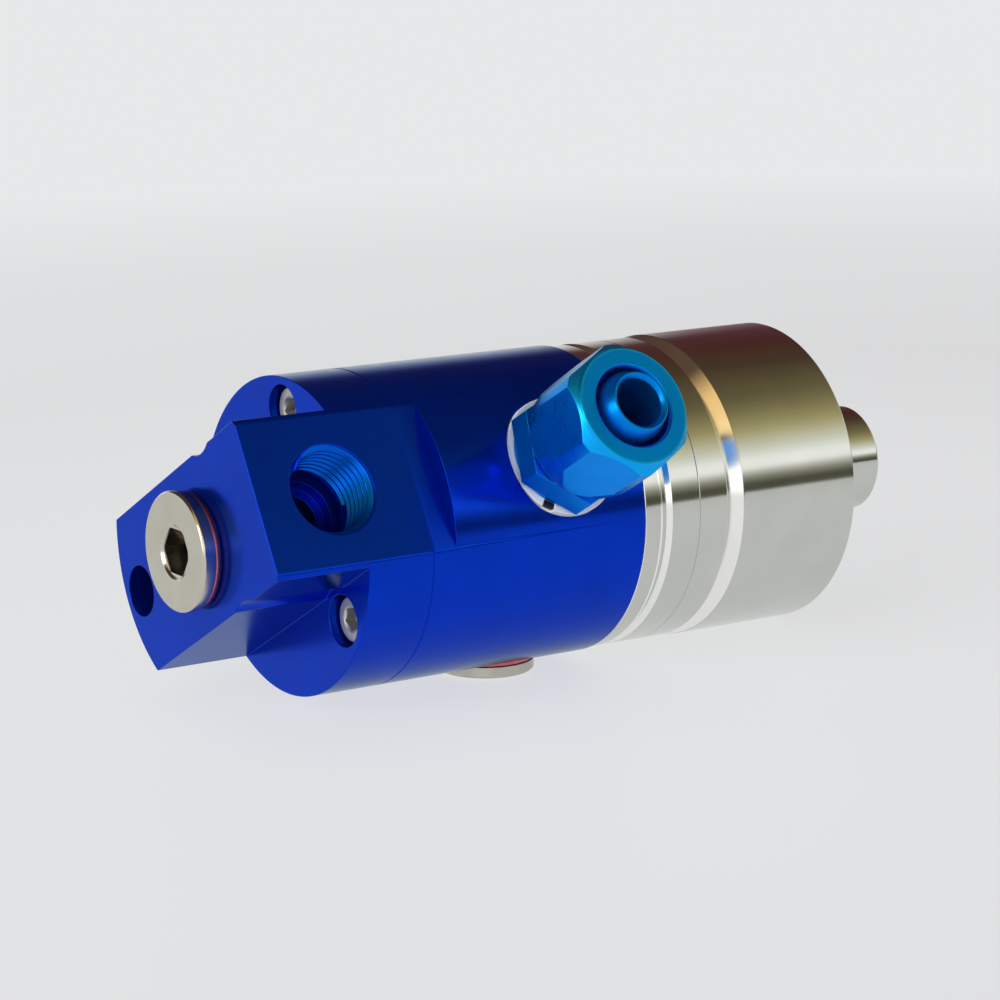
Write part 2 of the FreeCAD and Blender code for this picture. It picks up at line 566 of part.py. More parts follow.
def front_stack():
    """Steel front end of the stator: lock ring, bearing sleeve and front cover with its lip seal."""
    front = half("front_diameter")
    sleeve = half("sleeve_diameter")
    bearing = half("bearing_diameter")
    edge = size("edge_break")
    keep(turned("lock_ring", [
        (HOUSING_FACE, sleeve), (RING_FACE, sleeve), (RING_FACE, f"{front} - {edge}"),
        (f"{RING_FACE} - {edge}", front), (f"{HOUSING_FACE} + {edge}", front), (HOUSING_FACE, f"{front} - {edge}"),
    ]), "lock_ring")

    lip = f"{bearing} - {size('sleeve_lip_height')}"
    groove_start = f"{SLEEVE_END} + {size('o_ring_setback')}"
    groove_end = f"{groove_start} + {GROOVE_WIDTH}"
    groove_floor = f"{sleeve} - {size('o_ring_thickness')}"
    keep(turned("bearing_sleeve", [
        (SLEEVE_END, lip), (BEARING_END, lip), (BEARING_END, bearing), (COVER_JOINT, bearing),
        (COVER_JOINT, front), (f"{SLEEVE_SHOULDER} + {size('sleeve_chamfer')}", front),
        (SLEEVE_SHOULDER, f"{front} - {size('sleeve_chamfer')}"), (SLEEVE_SHOULDER, sleeve),
        (groove_end, sleeve), (groove_end, groove_floor), (groove_start, groove_floor), (groove_start, sleeve),
        (SLEEVE_END, sleeve),
    ]), "bearing_sleeve")
    middle = f"{groove_start} + ({GROOVE_WIDTH}) / 2"
    keep(torus("sleeve_o_ring", middle, f"{sleeve} - {half('o_ring_thickness')}", half("o_ring_thickness")),
         "sleeve_o_ring")

    bore = f"{half('collar_diameter')} + {size('cover_bore_play')}"
    seal = half("lip_seal_diameter")
    keep(turned("front_cover", [
        (BEARING_A, bore), (LIP_SEAL_BACK, bore), (LIP_SEAL_BACK, seal), (COVER_FACE, seal),
        (COVER_FACE, front), (COVER_JOINT, front), (COVER_JOINT, bearing), (BEARING_A, bearing),
    ]), "front_cover")

    wall = size("lip_case_thickness")
    contact = f"{half('collar_diameter')} + {size('lip_play')}"
    waist = f"{contact} + {wall}"
    lip_middle = f"{COVER_FACE} - {half('lip_seal_width')}"
    keep(turned("lip_seal", [
        (LIP_SEAL_BACK, f"{seal} - {wall}"), (f"{COVER_FACE} - {wall}", f"{seal} - {wall}"),
        (f"{COVER_FACE} - {wall}", f"{waist} + {wall}"), (f"{lip_middle} - {wall}", waist), (lip_middle, contact),
        (COVER_FACE, waist), (COVER_FACE, seal), (LIP_SEAL_BACK, seal),
    ]), "lip_seal")


def bearing(letter, face):
    """Ball bearing whose right side is at a station: two grooved rings, a cage and its balls."""
    name = f"bearing_{letter}"
    back = f"{face} - {size('bearing_width')}"
    middle = f"{face} - {half('bearing_width')}"
    inner = half("bearing_bore")
    outer = half("bearing_diameter")
    pitch = f"({inner} + {outer}) / 2"
    groove = f"{half('ball_diameter')} + {size('ball_play')}"
    wall = size("bearing_wall")
    rings = (("inner", inner, f"{inner} + {wall}"), ("outer", f"{outer} - {wall}", outer))
    for side, low, high in rings:
        blank = turned_ring(f"{name}_{side}_blank", back, face, low, high)
        track = torus(f"{name}_{side}_track", middle, pitch, groove)
        keep(cut(f"{name}_{side}_ring", blank, track), f"{name}_{side}_ring")

    half_cage = half("cage_width")
    blank = turned_ring(f"{name}_cage_blank", f"{middle} - {half_cage}", f"{middle} + {half_cage}",
                        f"{pitch} - {half('cage_thickness')}", f"{pitch} + {half('cage_thickness')}")
    holes = []
    balls = []
    for index in range(int(number(size("ball_count")))):
        angle = f"{index} * 360 / {size('ball_count')}"
        hole = DOC.addObject("Part::Cylinder", f"{name}_cage_hole_{index}")
        bind(hole, Radius=groove, Height=outer)
        stand(hole, middle, angle)
        holes.append(hole)
        ball = DOC.addObject("Part::Sphere", f"{name}_ball_{index}")
        bind(ball, Radius=half("ball_diameter"), Placement__Base__x=middle,
             Placement__Base__y=f"-({pitch}) * sin({angle} * 1 deg)",
             Placement__Base__z=f"({pitch}) * cos({angle} * 1 deg)")
        balls.append(ball)
    keep(cut(f"{name}_cage", blank, join(f"{name}_cage_holes", holes)), f"{name}_cage")
    keep(group(f"{name}_balls", balls), f"{name}_balls")


def rotor_group():
    """Rotor with its spigot, and what is fixed on it: spacer, circlip, seal head, seal ring and O-ring."""
    bore = half("rotor_bore")
    shaft = half("bearing_bore")
    nose = half("nose_diameter")
    collar = half("collar_diameter")
    spigot = half("spigot_diameter")
    rim = half("body_diameter")
    edge = size("edge_break")
    chamfer = size("spigot_chamfer")
    clip_floor = f"{shaft} - {size('circlip_depth')}"
    face_depth = size("face_ring_thickness")
    face_low = f"{half('face_ring_circle')} - {half('face_ring_thickness')} - {size('o_ring_side_play')}"
    face_high = f"{half('face_ring_circle')} + {half('face_ring_thickness')} + {size('o_ring_side_play')}"
    seat = half("spigot_seat_diameter")
    seat_end = f"-{size('spigot_seat_depth')}"
    body = turned("rotor", [
        (NOSE_END, bore), (seat_end, bore), (seat_end, seat), ("0", seat),
        ("0", face_low), (f"-{face_depth}", face_low), (f"-{face_depth}", face_high), ("0", face_high),
        ("0", f"{rim} - {edge}"), (f"-{edge}", rim), (FLANGE_EDGE, rim), (ROTOR_FACE, f"{rim} - {size('cone_length')}"),
        (ROTOR_FACE, collar), (BEARING_A, collar), (BEARING_A, shaft), (BEARING_END, shaft),
        (BEARING_END, clip_floor), (CIRCLIP_END, clip_floor), (CIRCLIP_END, shaft), (SEAL_HEAD_BACK, shaft),
        (SEAL_HEAD_BACK, nose), (NOSE_END, nose),
    ])
    holes = new_sketch(body, "flange_bolt", "YZ_Plane")
    add_circle(holes, "0", half("flange_bolt_circle"), half("flange_bolt_hole"))
    first = pocket(body, "flange_bolt_tapped", holes, size("flange_bolt_depth"))
    polar(body, "flange_bolts", first, size("flange_bolt_count"))
    keep(body, "rotor")

    length = size("spigot_length")
    keep(turned("rotor_spigot", [
        (seat_end, bore), (length, bore), (length, f"{spigot} - {chamfer}"), (f"{length} - {chamfer}", spigot),
        ("0", spigot), ("0", seat), (seat_end, seat),
    ]), "rotor_spigot")

    section = half("face_ring_thickness")
    keep(torus("face_o_ring", f"-{section}", half("face_ring_circle"), section), "face_o_ring")
    spacer = turned_ring("inner_spacer", BEARING_B, SPACER_FACE, shaft, f"{shaft} + {size('bearing_wall')}")
    keep(spacer, "inner_spacer")

    clip_radius = f"{clip_floor} + {size('circlip_height')}"
    clip = turned_ring("circlip_blank", CIRCLIP_END, BEARING_END, clip_floor, clip_radius)
    opening = DOC.addObject("Part::Box", "circlip_opening")
    bind(opening, Length=size("circlip_thickness"), Width=size("circlip_opening"), Height=size("bearing_bore"),
         Placement__Base__x=CIRCLIP_END, Placement__Base__y=f"-{half('circlip_opening')}")
    keep(cut("shaft_circlip", clip, opening), "shaft_circlip")

    ring = half("seal_ring_diameter")
    ring_bore = half("seal_ring_bore")
    head = turned("seal_head_blank", [
        (SEAL_HEAD_FRONT, ring), (NOSE_END, ring), (NOSE_END, nose), (SEAL_HEAD_BACK, nose),
        (SEAL_HEAD_BACK, f"{half('seal_head_diameter')} - {edge}"),
        (f"{SEAL_HEAD_BACK} - {edge}", half("seal_head_diameter")), (SEAL_HEAD_FRONT, half("seal_head_diameter")),
    ])
    jaws = DOC.addObject("Part::Box", "seal_head_jaws")
    bind(jaws, Length=size("seal_head_length"), Width=size("seal_head_flats"),
         Height=f"2 * {size('seal_head_diameter')}", Placement__Base__x=SEAL_HEAD_FRONT,
         Placement__Base__y=f"-{half('seal_head_flats')}", Placement__Base__z=f"-{size('seal_head_diameter')}")
    keep(overlap("rotor_seal_head", head, jaws), "rotor_seal_head")
    relief = f"{ring} - {size('seal_face_relief')}"
    keep(turned("rotor_seal_ring", [
        (ROTOR_SEAL_FACE, ring_bore), (NOSE_END, ring_bore), (NOSE_END, ring), (ROTOR_SEAL_FACE, ring),
    ]), "rotor_seal_ring")

    # The stationary ring's narrow face stands out of the wider ring that its carrier holds.
    step = f"{CARRIER_FRONT} + ({STATOR_SEAL_FACE} - ({CARRIER_FRONT})) / 2"
    keep(turned("stationary_seal_ring", [
        (STATOR_RING_BACK, ring_bore), (STATOR_SEAL_FACE, ring_bore), (STATOR_SEAL_FACE, relief), (step, relief),
        (step, ring), (STATOR_RING_BACK, ring),
    ]), "stationary_seal_ring")


def floating_seal():
    """Sprung seal carrier that slides in the cap, its spring, pins and O-rings."""
    tube = half("tube_diameter")
    rim = half("carrier_diameter")
    ring = half("seal_ring_diameter")
    blank = turned("seal_carrier_blank", [
        (TUBE_END, half("tube_bore")), (STATOR_RING_BACK, half("tube_bore")), (STATOR_RING_BACK, ring),
        (CARRIER_FRONT, ring), (CARRIER_FRONT, rim), (CARRIER_BACK, rim), (CARRIER_BACK, tube), (TUBE_END, tube),
    ])
    # Each notch lets one pin slide and stops the carrier from turning.
    notches = []
    pins = []
    pin_start = f"{HUB_FACE} - {size('pin_seat')}"
    pin_end = f"{CARRIER_BACK} + {size('pin_reach')}"
    for index in range(2):
        lean = f"{INLET_LEAN} + 90 + {index} * 180"
        notch = DOC.addObject("Part::Box", f"notch_{index}")
        width = f"{size('pin_diameter')} + 2 * {size('pin_play')}"
        bind(notch, Length=size("carrier_flange_length"), Width=width, Height=half("pin_circle"),
             Placement__Base__x=CARRIER_BACK, Placement__Base__y=f"-({width}) / 2",
             Placement__Base__z=half("pin_circle"))
        root = rod(f"notch_root_{index}", CARRIER_BACK, CARRIER_FRONT, f"({width}) / 2", half("pin_circle"))
        notches.append(around(join(f"notch_at_{index}", [notch, root]), lean))
        pin = rod(f"pin_{index}", pin_start, pin_end, half("pin_diameter"), half("pin_circle"))
        pins.append(around(group(f"pin_at_{index}", [pin]), lean))
    keep(cut("seal_carrier", blank, join("notches", notches)), "seal_carrier")
    keep(group("anti_rotation_pins", pins), "anti_rotation_pins")

    middle = f"{CAP_GROOVE} + ({GROOVE_WIDTH}) / 2"
    section = half("o_ring_thickness")
    keep(torus("cap_o_ring", middle, f"{half('cavity_diameter')} - {section}", section), "cap_o_ring")
    keep(torus("tube_o_ring", middle, f"{tube} + {size('tube_play')} + {section}", section), "tube_o_ring")

    # The spring runs in a screw line of short straight runs between its pocket and the carrier's flange.
    wire = number(half("spring_wire"))
    coil = number(half("spring_diameter")) - wire
    first = number(SPRING_SEAT) + wire
    rise = number(CARRIER_BACK) - wire - first
    runs = int(number(size("spring_runs")))
    count = round(runs * number(size("spring_turns")))
    line = []
    for step in range(count + 1):
        turn = 2 * math.pi * step / runs
        line.append(FreeCAD.Vector(rise * step / count, coil * math.cos(turn), coil * math.sin(turn)))
    wire_end = Part.Wire(Part.makeCircle(wire, line[0], line[1] - line[0]))
    spring = DOC.addObject("Part::Feature", "seal_spring")
    spring.Shape = Part.makePolygon(line).makePipeShell([wire_end], True, False, 1)
    spring.Placement = FreeCAD.Placement(FreeCAD.Vector(first, 0, 0), FreeCAD.Rotation())
    keep(spring, "seal_spring")


def cap_screws():
    """Socket head screws that hold the cap on the housing."""
    seat = f"{CAP_SHOULDER} + {size('counterbore_depth')}"
    top = f"{seat} - {size('screw_head_length')}"
    arm = half("screw_circle")
    screws = []
    for index in range(int(number(size("screw_count")))):
        head = rod(f"screw_head_{index}", top, seat, half("screw_head_diameter"), arm)
        shank = rod(f"screw_shank_{index}", seat, f"{CAP_JOINT} + {size('screw_grip')}", half("screw_diameter"), arm)
        socket = prism(f"screw_socket_{index}", size("screw_socket"), half("screw_head_length"))
        socket.Placement = FreeCAD.Placement(FreeCAD.Vector(0, 0, 0), FreeCAD.Rotation(AXES["Y"], 90))
        bind(socket, Placement__Base__x=top, Placement__Base__z=arm)
        solid = join(f"screw_solid_{index}", [head, shank])
        screws.append(around(cut(f"screw_{index}", solid, socket), screw_angle(index)))
    keep(group("cap_screws", screws), "cap_screws")


def inlet_plug():
    """Screw plug that closes the cap's axial inlet, on a copper washer."""
    thread = half("port_thread")
    flange = half("plug_flange_diameter")
    washer_face = f"{BLOCK_FACE} - {size('washer_thickness')}"
    front = f"{washer_face} - {size('plug_flange_length')}"
    edge = size("edge_break")
    corner = f"{size('plug_socket')} / ({HEX_TO_CORNER})"
    blank = turned("inlet_plug_blank", [
        (f"{front} + {edge}", "0"), (f"{front} + {edge}", corner), (front, f"{corner} + {edge}"),
        (front, f"{flange} - {edge}"), (f"{front} + {edge}", flange),
        (washer_face, flange), (washer_face, thread),
        (f"{BLOCK_FACE} + {size('plug_thread_length')} - {edge}", thread),
        (f"{BLOCK_FACE} + {size('plug_thread_length')} - {edge}", "0"),
    ])
    socket = prism("inlet_plug_socket", size("plug_socket"), size("plug_socket_depth"))
    socket.Placement = FreeCAD.Placement(FreeCAD.Vector(0, 0, 0), FreeCAD.Rotation(AXES["Y"], 90))
    bind(socket, Placement__Base__x=front)
    keep(cut("inlet_plug", blank, socket), "inlet_plug")
    keep(turned_ring("inlet_plug_washer", washer_face, BLOCK_FACE, f"{thread} + {size('washer_play')}", flange),
         "inlet_plug_washer")


def drain_plug():
    """Smaller screw plug that closes the lower drain, on a copper washer."""
    thread = half("drain_plug_thread")
    flange = half("drain_plug_diameter")
    spot = size("spot_height")
    seat = f"{spot} + {size('washer_thickness')}"
    top = f"{seat} + {size('drain_plug_flange')}"
    edge = size("edge_break")
    blank = radial_turned("drain_plug_blank", [
        ("0", f"{spot} - {size('drain_plug_thread_length')}"), (thread, f"{spot} - {size('drain_plug_thread_length')}"),
        (thread, seat), (flange, seat), (flange, f"{top} - {edge}"), (f"{flange} - {edge}", top), ("0", top),
    ], DRAIN_X, PLUG_LEAN)
    socket = prism("drain_plug_socket", size("drain_plug_socket"), size("drain_plug_socket_depth"))
    socket.Placement = FreeCAD.Placement(FreeCAD.Vector(0, 0, 0), FreeCAD.Rotation(AXES["X"], 0))
    bind(socket, Placement__Base__x=DRAIN_X, Placement__Base__z=f"-({top})")
    keep(cut("drain_plug", blank, socket), "drain_plug")
    bore = f"{thread} + {size('washer_play')}"
    keep(radial_turned("drain_plug_washer", [(bore, spot), (bore, seat), (flange, seat), (flange, spot)],
                       DRAIN_X, PLUG_LEAN), "drain_plug_washer")


def drain_fitting():
    """Hose fitting on the upper drain: washer, threaded body with hexagon and nipple, and union nut."""
    thread = half("port_thread")
    spot = size("spot_height")
    seat = f"{spot} + {size('washer_thickness')}"
    washer_bore = f"{thread} + {size('washer_play')}"
    washer = half("drain_washer_diameter")
    keep(radial_turned("drain_washer", [(washer_bore, spot), (washer_bore, seat), (washer, seat), (washer, spot)],
                       DRAIN_X, DRAIN_LEAN), "drain_washer")

    hex_base = f"{seat} + {size('drain_collar')}"
    hex_top = f"{hex_base} + {size('drain_hex_length')}"
    nut_foot = f"{hex_top} + {size('nut_gap')}"
    nut_face = f"{nut_foot} + {size('nut_length')}"
    stem_top = f"{hex_top} + {size('stem_length')}"
    tip = f"{nut_face} + {size('nipple_reach')}"
    barb = f"{tip} - {size('barb_setback')}"
    bore = half("nipple_bore")
    core = radial_turned("drain_body_core", [
        (bore, f"{spot} - {size('drain_thread_length')}"), (thread, f"{spot} - {size('drain_thread_length')}"),
        (thread, hex_top), (half("stem_diameter"), hex_top), (half("stem_diameter"), stem_top),
        (half("nipple_barb"), stem_top), (half("nipple_barb"), barb), (half("nipple_diameter"), tip), (bore, tip),
    ], DRAIN_X, DRAIN_LEAN)
    corner = f"{size('drain_hex')} / ({HEX_TO_CORNER})"
    collar = f"{half('drain_hex')} - {size('edge_break')}"
    hex_blank = radial_turned("drain_hex_blank", [
        (bore, seat), (collar, seat), (collar, hex_base), (corner, hex_base), (corner, hex_top), (bore, hex_top),
    ], DRAIN_X, DRAIN_LEAN)
    hex_bar = prism("drain_hex_bar", size("drain_hex"), f"{hex_top} + 1", size("drain_hex_turn"))
    hex_body = overlap("drain_hex_solid", hex_blank, leaning(hex_bar))
    keep(join("drain_body", [core, hex_body]), "drain_body")

    nut = half("nut_diameter")
    lip_floor = f"{nut_face} - {size('nut_lip_length')}"
    blank = radial_turned("drain_nut_blank", [
        (half("stem_diameter"), nut_foot), (half("nut_foot_diameter"), nut_foot),
        (nut, f"{nut_foot} + {size('nut_foot_cone')}"), (nut, f"{nut_face} - {size('nut_front_cone')}"),
        (half("nut_face_diameter"), nut_face), (half("nut_bore"), nut_face), (half("nut_bore"), lip_floor),
        (half("stem_diameter"), lip_floor),
    ], DRAIN_X, DRAIN_LEAN)
    bar = prism("drain_nut_bar", size("nut_flats"), f"{nut_face} + 1", size("nut_turn"))
    keep(overlap("drain_nut", blank, leaning(bar)), "drain_nut")


def leaning(piece):
    """Leans an upright tool the way the drain fitting stands, keeping its own turn."""
    holder = group(f"{piece.Name}_at", [piece])
    stand(holder, DRAIN_X, DRAIN_LEAN)
    return holder


def outer_spacer():
    """Ring between the bearings' outer rings."""
    outer = half("bearing_diameter")
    spacer = turned_ring("outer_spacer", BEARING_B, SPACER_FACE, f"{outer} - {size('bearing_wall')}", outer)
    keep(spacer, "outer_spacer")


def check(document):
    """Stops with a message when any object has failed or any sub-part is not a sound solid."""
    for thing in document.Objects:
        if {"Invalid", "Error"} & set(thing.State):
            raise RuntimeError(f"{thing.Name} has failed: {thing.State}")
    for piece in PARTS:
        if piece.Shape.isNull() or not piece.Shape.isValid() or not piece.Shape.Solids:
            raise RuntimeError(f"{piece.Label} has no sound solid")


def export():
    """Writes one STEP file for each sub-part."""
    os.makedirs("parts", exist_ok=True)
    for piece in PARTS:
        piece.Shape.exportStep(f"parts/{piece.Label}.step")
        print(f"{piece.Label}: {len(piece.Shape.Solids)} solid(s), {piece.Shape.Volume / 1000:.3f} cm3")


end_cap()
inlet_plug()
cap_screws()
housing()
drain_fitting()
drain_plug()
front_stack()
outer_spacer()
bearing("a", BEARING_A)
bearing("b", BEARING_B)
rotor_group()
floating_seal()
DOC.recompute()
check(DOC)
export()
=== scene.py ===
"""Looks of a hydraulic rotary union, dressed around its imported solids.

Sizes are in millimetres and become metres when a mesh is finished. X is the union's axis, from cap to spigot.
The inlet and the drain fitting lean outward along n, and t is the direction across it.
"""

import logging
import math
from dataclasses import dataclass, field
from enum import Enum
from typing import Any, Callable, Sequence

import bmesh
import bpy
from mathutils import Matrix, Vector


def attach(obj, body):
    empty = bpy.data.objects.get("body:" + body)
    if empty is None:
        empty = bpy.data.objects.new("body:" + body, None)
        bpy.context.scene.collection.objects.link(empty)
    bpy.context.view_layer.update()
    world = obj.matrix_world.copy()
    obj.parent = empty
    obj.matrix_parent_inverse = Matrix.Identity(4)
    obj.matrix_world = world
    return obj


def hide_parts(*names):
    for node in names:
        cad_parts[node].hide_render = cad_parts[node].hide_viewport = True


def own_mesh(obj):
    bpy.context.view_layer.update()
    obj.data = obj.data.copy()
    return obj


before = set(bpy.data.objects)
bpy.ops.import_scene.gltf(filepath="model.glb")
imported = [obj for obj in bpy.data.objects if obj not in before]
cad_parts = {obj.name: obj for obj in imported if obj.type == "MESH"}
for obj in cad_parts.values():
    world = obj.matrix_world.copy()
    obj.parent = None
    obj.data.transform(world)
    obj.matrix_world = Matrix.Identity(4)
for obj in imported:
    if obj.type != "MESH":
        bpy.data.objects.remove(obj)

LOG = logging.getLogger("rotary_union")
MM = 0.001
FULL_TURN = 2 * math.pi
# How far inlet and drain fitting stand above the horizontal.
LEAN = math.radians(30)
DRAIN_LEAN = math.radians(29.6)
# Sides of a full turn on the lathe.
STEPS = 180
# Radii and distances from the union's axis that several pieces share, in millimetres.
BODY_RADIUS = 29.5
FLAT = 26.1
SPOT_FACE = 27.3
SEAT = 28.8
PORT_RADIUS = 8.33
SCREW_CIRCLE = 23.3
# Degrees from n towards -t.
SCREW_ANGLES = (60.0, 180.0, 300.0)

Outline = Sequence[tuple[float, float]]
Mesh = bmesh.types.BMesh
Edge = bmesh.types.BMEdge
Tree = bpy.types.NodeTree
Socket = bpy.types.NodeSocket
Node = bpy.types.Node


def outward(angle: float) -> Matrix:
    """Gives the matrix that lays X outward from the union's axis.

    Args:
        angle: How far outward stands above the horizontal, in radians.

    Returns:
        A turn whose second column runs along the union's axis.
    """
    rise, reach = math.sin(angle), math.cos(angle)
    return Matrix(((0, 1, 0, 0), (-reach, 0, rise, 0), (rise, 0, reach, 0), (0, 0, 0, 1)))


class Axis(Enum):
    """Axes that pieces were turned about, as the matrix that lays X along each of them."""

    UNION = Matrix.Identity(4)
    PORT = outward(LEAN)
    DRAIN = outward(DRAIN_LEAN)
    DOWN = Matrix(((0, 1, 0, 0), (0, 0, -1, 0), (-1, 0, 0, 0), (0, 0, 0, 1)))


class Station(float, Enum):
    """Stations along the union's axis in millimetres, from the rotor flange's rear face."""

    BLOCK = -129.7
    INLET = -114.15
    SHOULDER = -110.9
    JOINT = -97.5
    FLAT_END = -92.7
    HUB = -88.0
    DRAIN = -66.8
    HOUSING = -50.8
    RING = -46.2
    SLEEVE = -45.1
    COVER = -37.7
    GAP = -30.8
    CONE = -30.3
    CYLINDER = -27.5


class Slot(Enum):
    """Material slots of the record."""

    BLUE = "blue_anodised"
    LIGHT_BLUE = "light_blue_anodised"
    STAINLESS = "turned_stainless"
    PLUG = "plug_steel"
    SCREW = "screw_steel"
    BEARING = "bearing_steel"
    BRASS = "cage_brass"
    COPPER = "copper"
    NYLON = "white_nylon"
    BLACK_RUBBER = "black_rubber"
    BROWN_RUBBER = "brown_rubber"
    CERAMIC = "seal_ceramic"
    SPRING = "spring_steel"


def linear(code: str) -> tuple[float, float, float, float]:
    """Turns an sRGB hex code into linear colour.

    Args:
        code: Colour such as "#1a2b3c".

    Returns:
        Red, green, blue and an alpha of 1.
    """
    parts = [int(code[i:i + 2], 16) / 255 for i in (1, 3, 5)]
    red, green, blue = (c / 12.92 if c <= 0.04045 else ((c + 0.055) / 1.055) ** 2.4 for c in parts)
    return red, green, blue, 1.0


def add_node(tree: Tree, kind: str, values: dict[Any, Any] | None = None,
             links: dict[Any, Socket] | None = None, **settings: Any) -> Node:
    """Adds one node with its settings and links.

    Args:
        tree: Node tree that gets the node.
        kind: Blender's name of the node type.
        values: Fixed values by input name or number.
        links: Output sockets by the input name or number that they feed.
        settings: Properties of the node itself.

    Returns:
        The new node.
    """
    node = tree.nodes.new(kind)
    for name, value in settings.items():
        setattr(node, name, value)
    for key, value in (values or {}).items():
        node.inputs[key].default_value = value
    for key, source in (links or {}).items():
        tree.links.new(source, node.inputs[key])
    return node


@dataclass(frozen=True)
class Finish:
    """A surface finish: what the material is, and how it was made."""

    name: str
    colour: str
    roughness: float
    metallic: float = 0.0
    axis: Axis = Axis.UNION
    origin: float = 0.0

    def material(self) -> bpy.types.Material:
        """Builds the material or finds it again.

        Returns:
            The finish as a node material.
        """
        found = bpy.data.materials.get(self.name)
        if found:
            return found
        made = bpy.data.materials.new(self.name)
        made.use_nodes = True
        tree = made.node_tree
        shader = next(node for node in tree.nodes if node.type == "BSDF_PRINCIPLED")
        shader.inputs["Base Color"].default_value = linear(self.colour)
        shader.inputs["Roughness"].default_value = self.roughness
        shader.inputs["Metallic"].default_value = self.metallic
        made.diffuse_color = linear(self.colour)
        self.detail(tree, shader)
        return made

    def detail(self, tree: Tree, shader: Node) -> None:
        """Adds what sets this finish apart.

        Args:
            tree: The material's node tree.
            shader: Its surface shader.
        """

    def place(self, tree: Tree) -> Socket:
        """Gives the point on the piece, seen from the axis that it was turned about.

        Args:
            tree: The material's node tree.

        Returns:
            A vector whose X runs along the turning axis, in metres.
        """
        turned = self.axis.value.inverted().to_euler()
        laid = add_node(tree, "ShaderNodeMapping", {"Rotation": turned}, {"Vector": self.offset(tree)})
        return laid.outputs[0]

    def offset(self, tree: Tree) -> Socket:
        """Gives the point on the piece, from the turning axis's station.

        Args:
            tree: The material's node tree.

        Returns:
            A vector in metres.
        """
        where = add_node(tree, "ShaderNodeTexCoord")
        moved = add_node(tree, "ShaderNodeVectorMath", {1: (-self.origin * MM, 0, 0)},
                         {0: where.outputs["Object"]}, operation="ADD")
        return moved.outputs[0]

    def lathe_point(self, tree: Tree) -> Socket:
        """Gives station and radius, which stay the same along every turned line.

        Args:
            tree: The material's node tree.

        Returns:
            A vector of station and radius in metres.
        """
        split = add_node(tree, "ShaderNodeSeparateXYZ", links={0: self.place(tree)})
        across = add_node(tree, "ShaderNodeCombineXYZ", links={1: split.outputs[1], 2: split.outputs[2]})
        radius = add_node(tree, "ShaderNodeVectorMath", links={0: across.outputs[0]}, operation="LENGTH")
        both = {0: split.outputs[0], 1: radius.outputs["Value"]}
        return add_node(tree, "ShaderNodeCombineXYZ", links=both).outputs[0]

    def tangent(self, tree: Tree) -> Socket:
        """Gives the direction of the turned lines.

        Args:
            tree: The material's node tree.

        Returns:
            The direction around the turning axis, in world space.
        """
        along = self.axis.value.to_3x3() @ Vector((1, 0, 0))
        around = add_node(tree, "ShaderNodeVectorMath", {0: along}, {1: self.offset(tree)},
                          operation="CROSS_PRODUCT")
        world = add_node(tree, "ShaderNodeVectorTransform", links={0: around.outputs[0]},
                         vector_type="VECTOR", convert_from="OBJECT", convert_to="WORLD")
        return world.outputs[0]

    def turned_gloss(self, tree: Tree, shader: Node, stretch: float) -> None:
        """Draws highlights out across the turned lines.

        Args:
            tree: The material's node tree.
            shader: Its surface shader.
            stretch: How far, from 0 to 1.
        """
        shader.inputs["Anisotropic"].default_value = stretch
        shader.inputs["Anisotropic Rotation"].default_value = 0.25
        tree.links.new(self.tangent(tree), shader.inputs["Tangent"])


def fine_noise(tree: Tree, point: Socket, spacing: float, detail: float = 2.0, flat: bool = False) -> Socket:
    """Noise whose grains have a real size.

    Args:
        tree: The material's node tree.
        point: Where the noise is read, in metres.
        spacing: Size of a grain in millimetres.
        detail: Finer layers on top of the first.
        flat: True for noise over two coordinates only.

    Returns:
        The noise from 0 to 1.
    """
    values = {"Scale": 1 / (spacing * MM), "Detail": detail}
    node = add_node(tree, "ShaderNodeTexNoise", values, {"Vector": point},
                    noise_dimensions="2D" if flat else "3D")
    return node.outputs[0]


def spread(tree: Tree, source: Socket, low: float, high: float, from_low: float = 0.3,
           from_high: float = 0.7) -> Socket:
    """Spreads noise over a range.

    Args:
        tree: The material's node tree.
        source: Noise from 0 to 1.
        low: Result at from_low.
        high: Result at from_high.
        from_low: Noise that gives low.
        from_high: Noise that gives high.

    Returns:
        The spread value.
    """
    values = {"From Min": from_low, "From Max": from_high, "To Min": low, "To Max": high}
    return add_node(tree, "ShaderNodeMapRange", values, {"Value": source}).outputs[0]


def relief(tree: Tree, shader: Node, height: Socket, depth: float) -> None:
    """Gives a surface its fine relief.

    Args:
        tree: The material's node tree.
        shader: Its surface shader.
        height: Height from 0 to 1.
        depth: What a height of 1 stands for, in millimetres.
    """
    bump = add_node(tree, "ShaderNodeBump", {"Strength": 1.0, "Distance": depth * MM}, {"Height": height})
    tree.links.new(bump.outputs[0], shader.inputs["Normal"])


def blend(tree: Tree, amount: Socket, first: Socket, second: str) -> Socket:
    """Lays a colour over another one.

    Args:
        tree: The material's node tree.
        amount: Share of the second colour.
        first: Colour that is laid over.
        second: Colour code.

    Returns:
        The mixed colour.
    """
    node = add_node(tree, "ShaderNodeMix", {7: linear(second)}, {0: amount, 6: first}, data_type="RGBA")
    return node.outputs[2]


def tint(tree: Tree, amount: Socket, first: str, second: str) -> Socket:
    """Mixes two colours.

    Args:
        tree: The material's node tree.
        amount: Share of the second colour.
        first: Colour code.
        second: Colour code.

    Returns:
        The mixed colour.
    """
    node = add_node(tree, "ShaderNodeMix", {6: linear(first), 7: linear(second)}, {0: amount},
                    data_type="RGBA")
    return node.outputs[2]


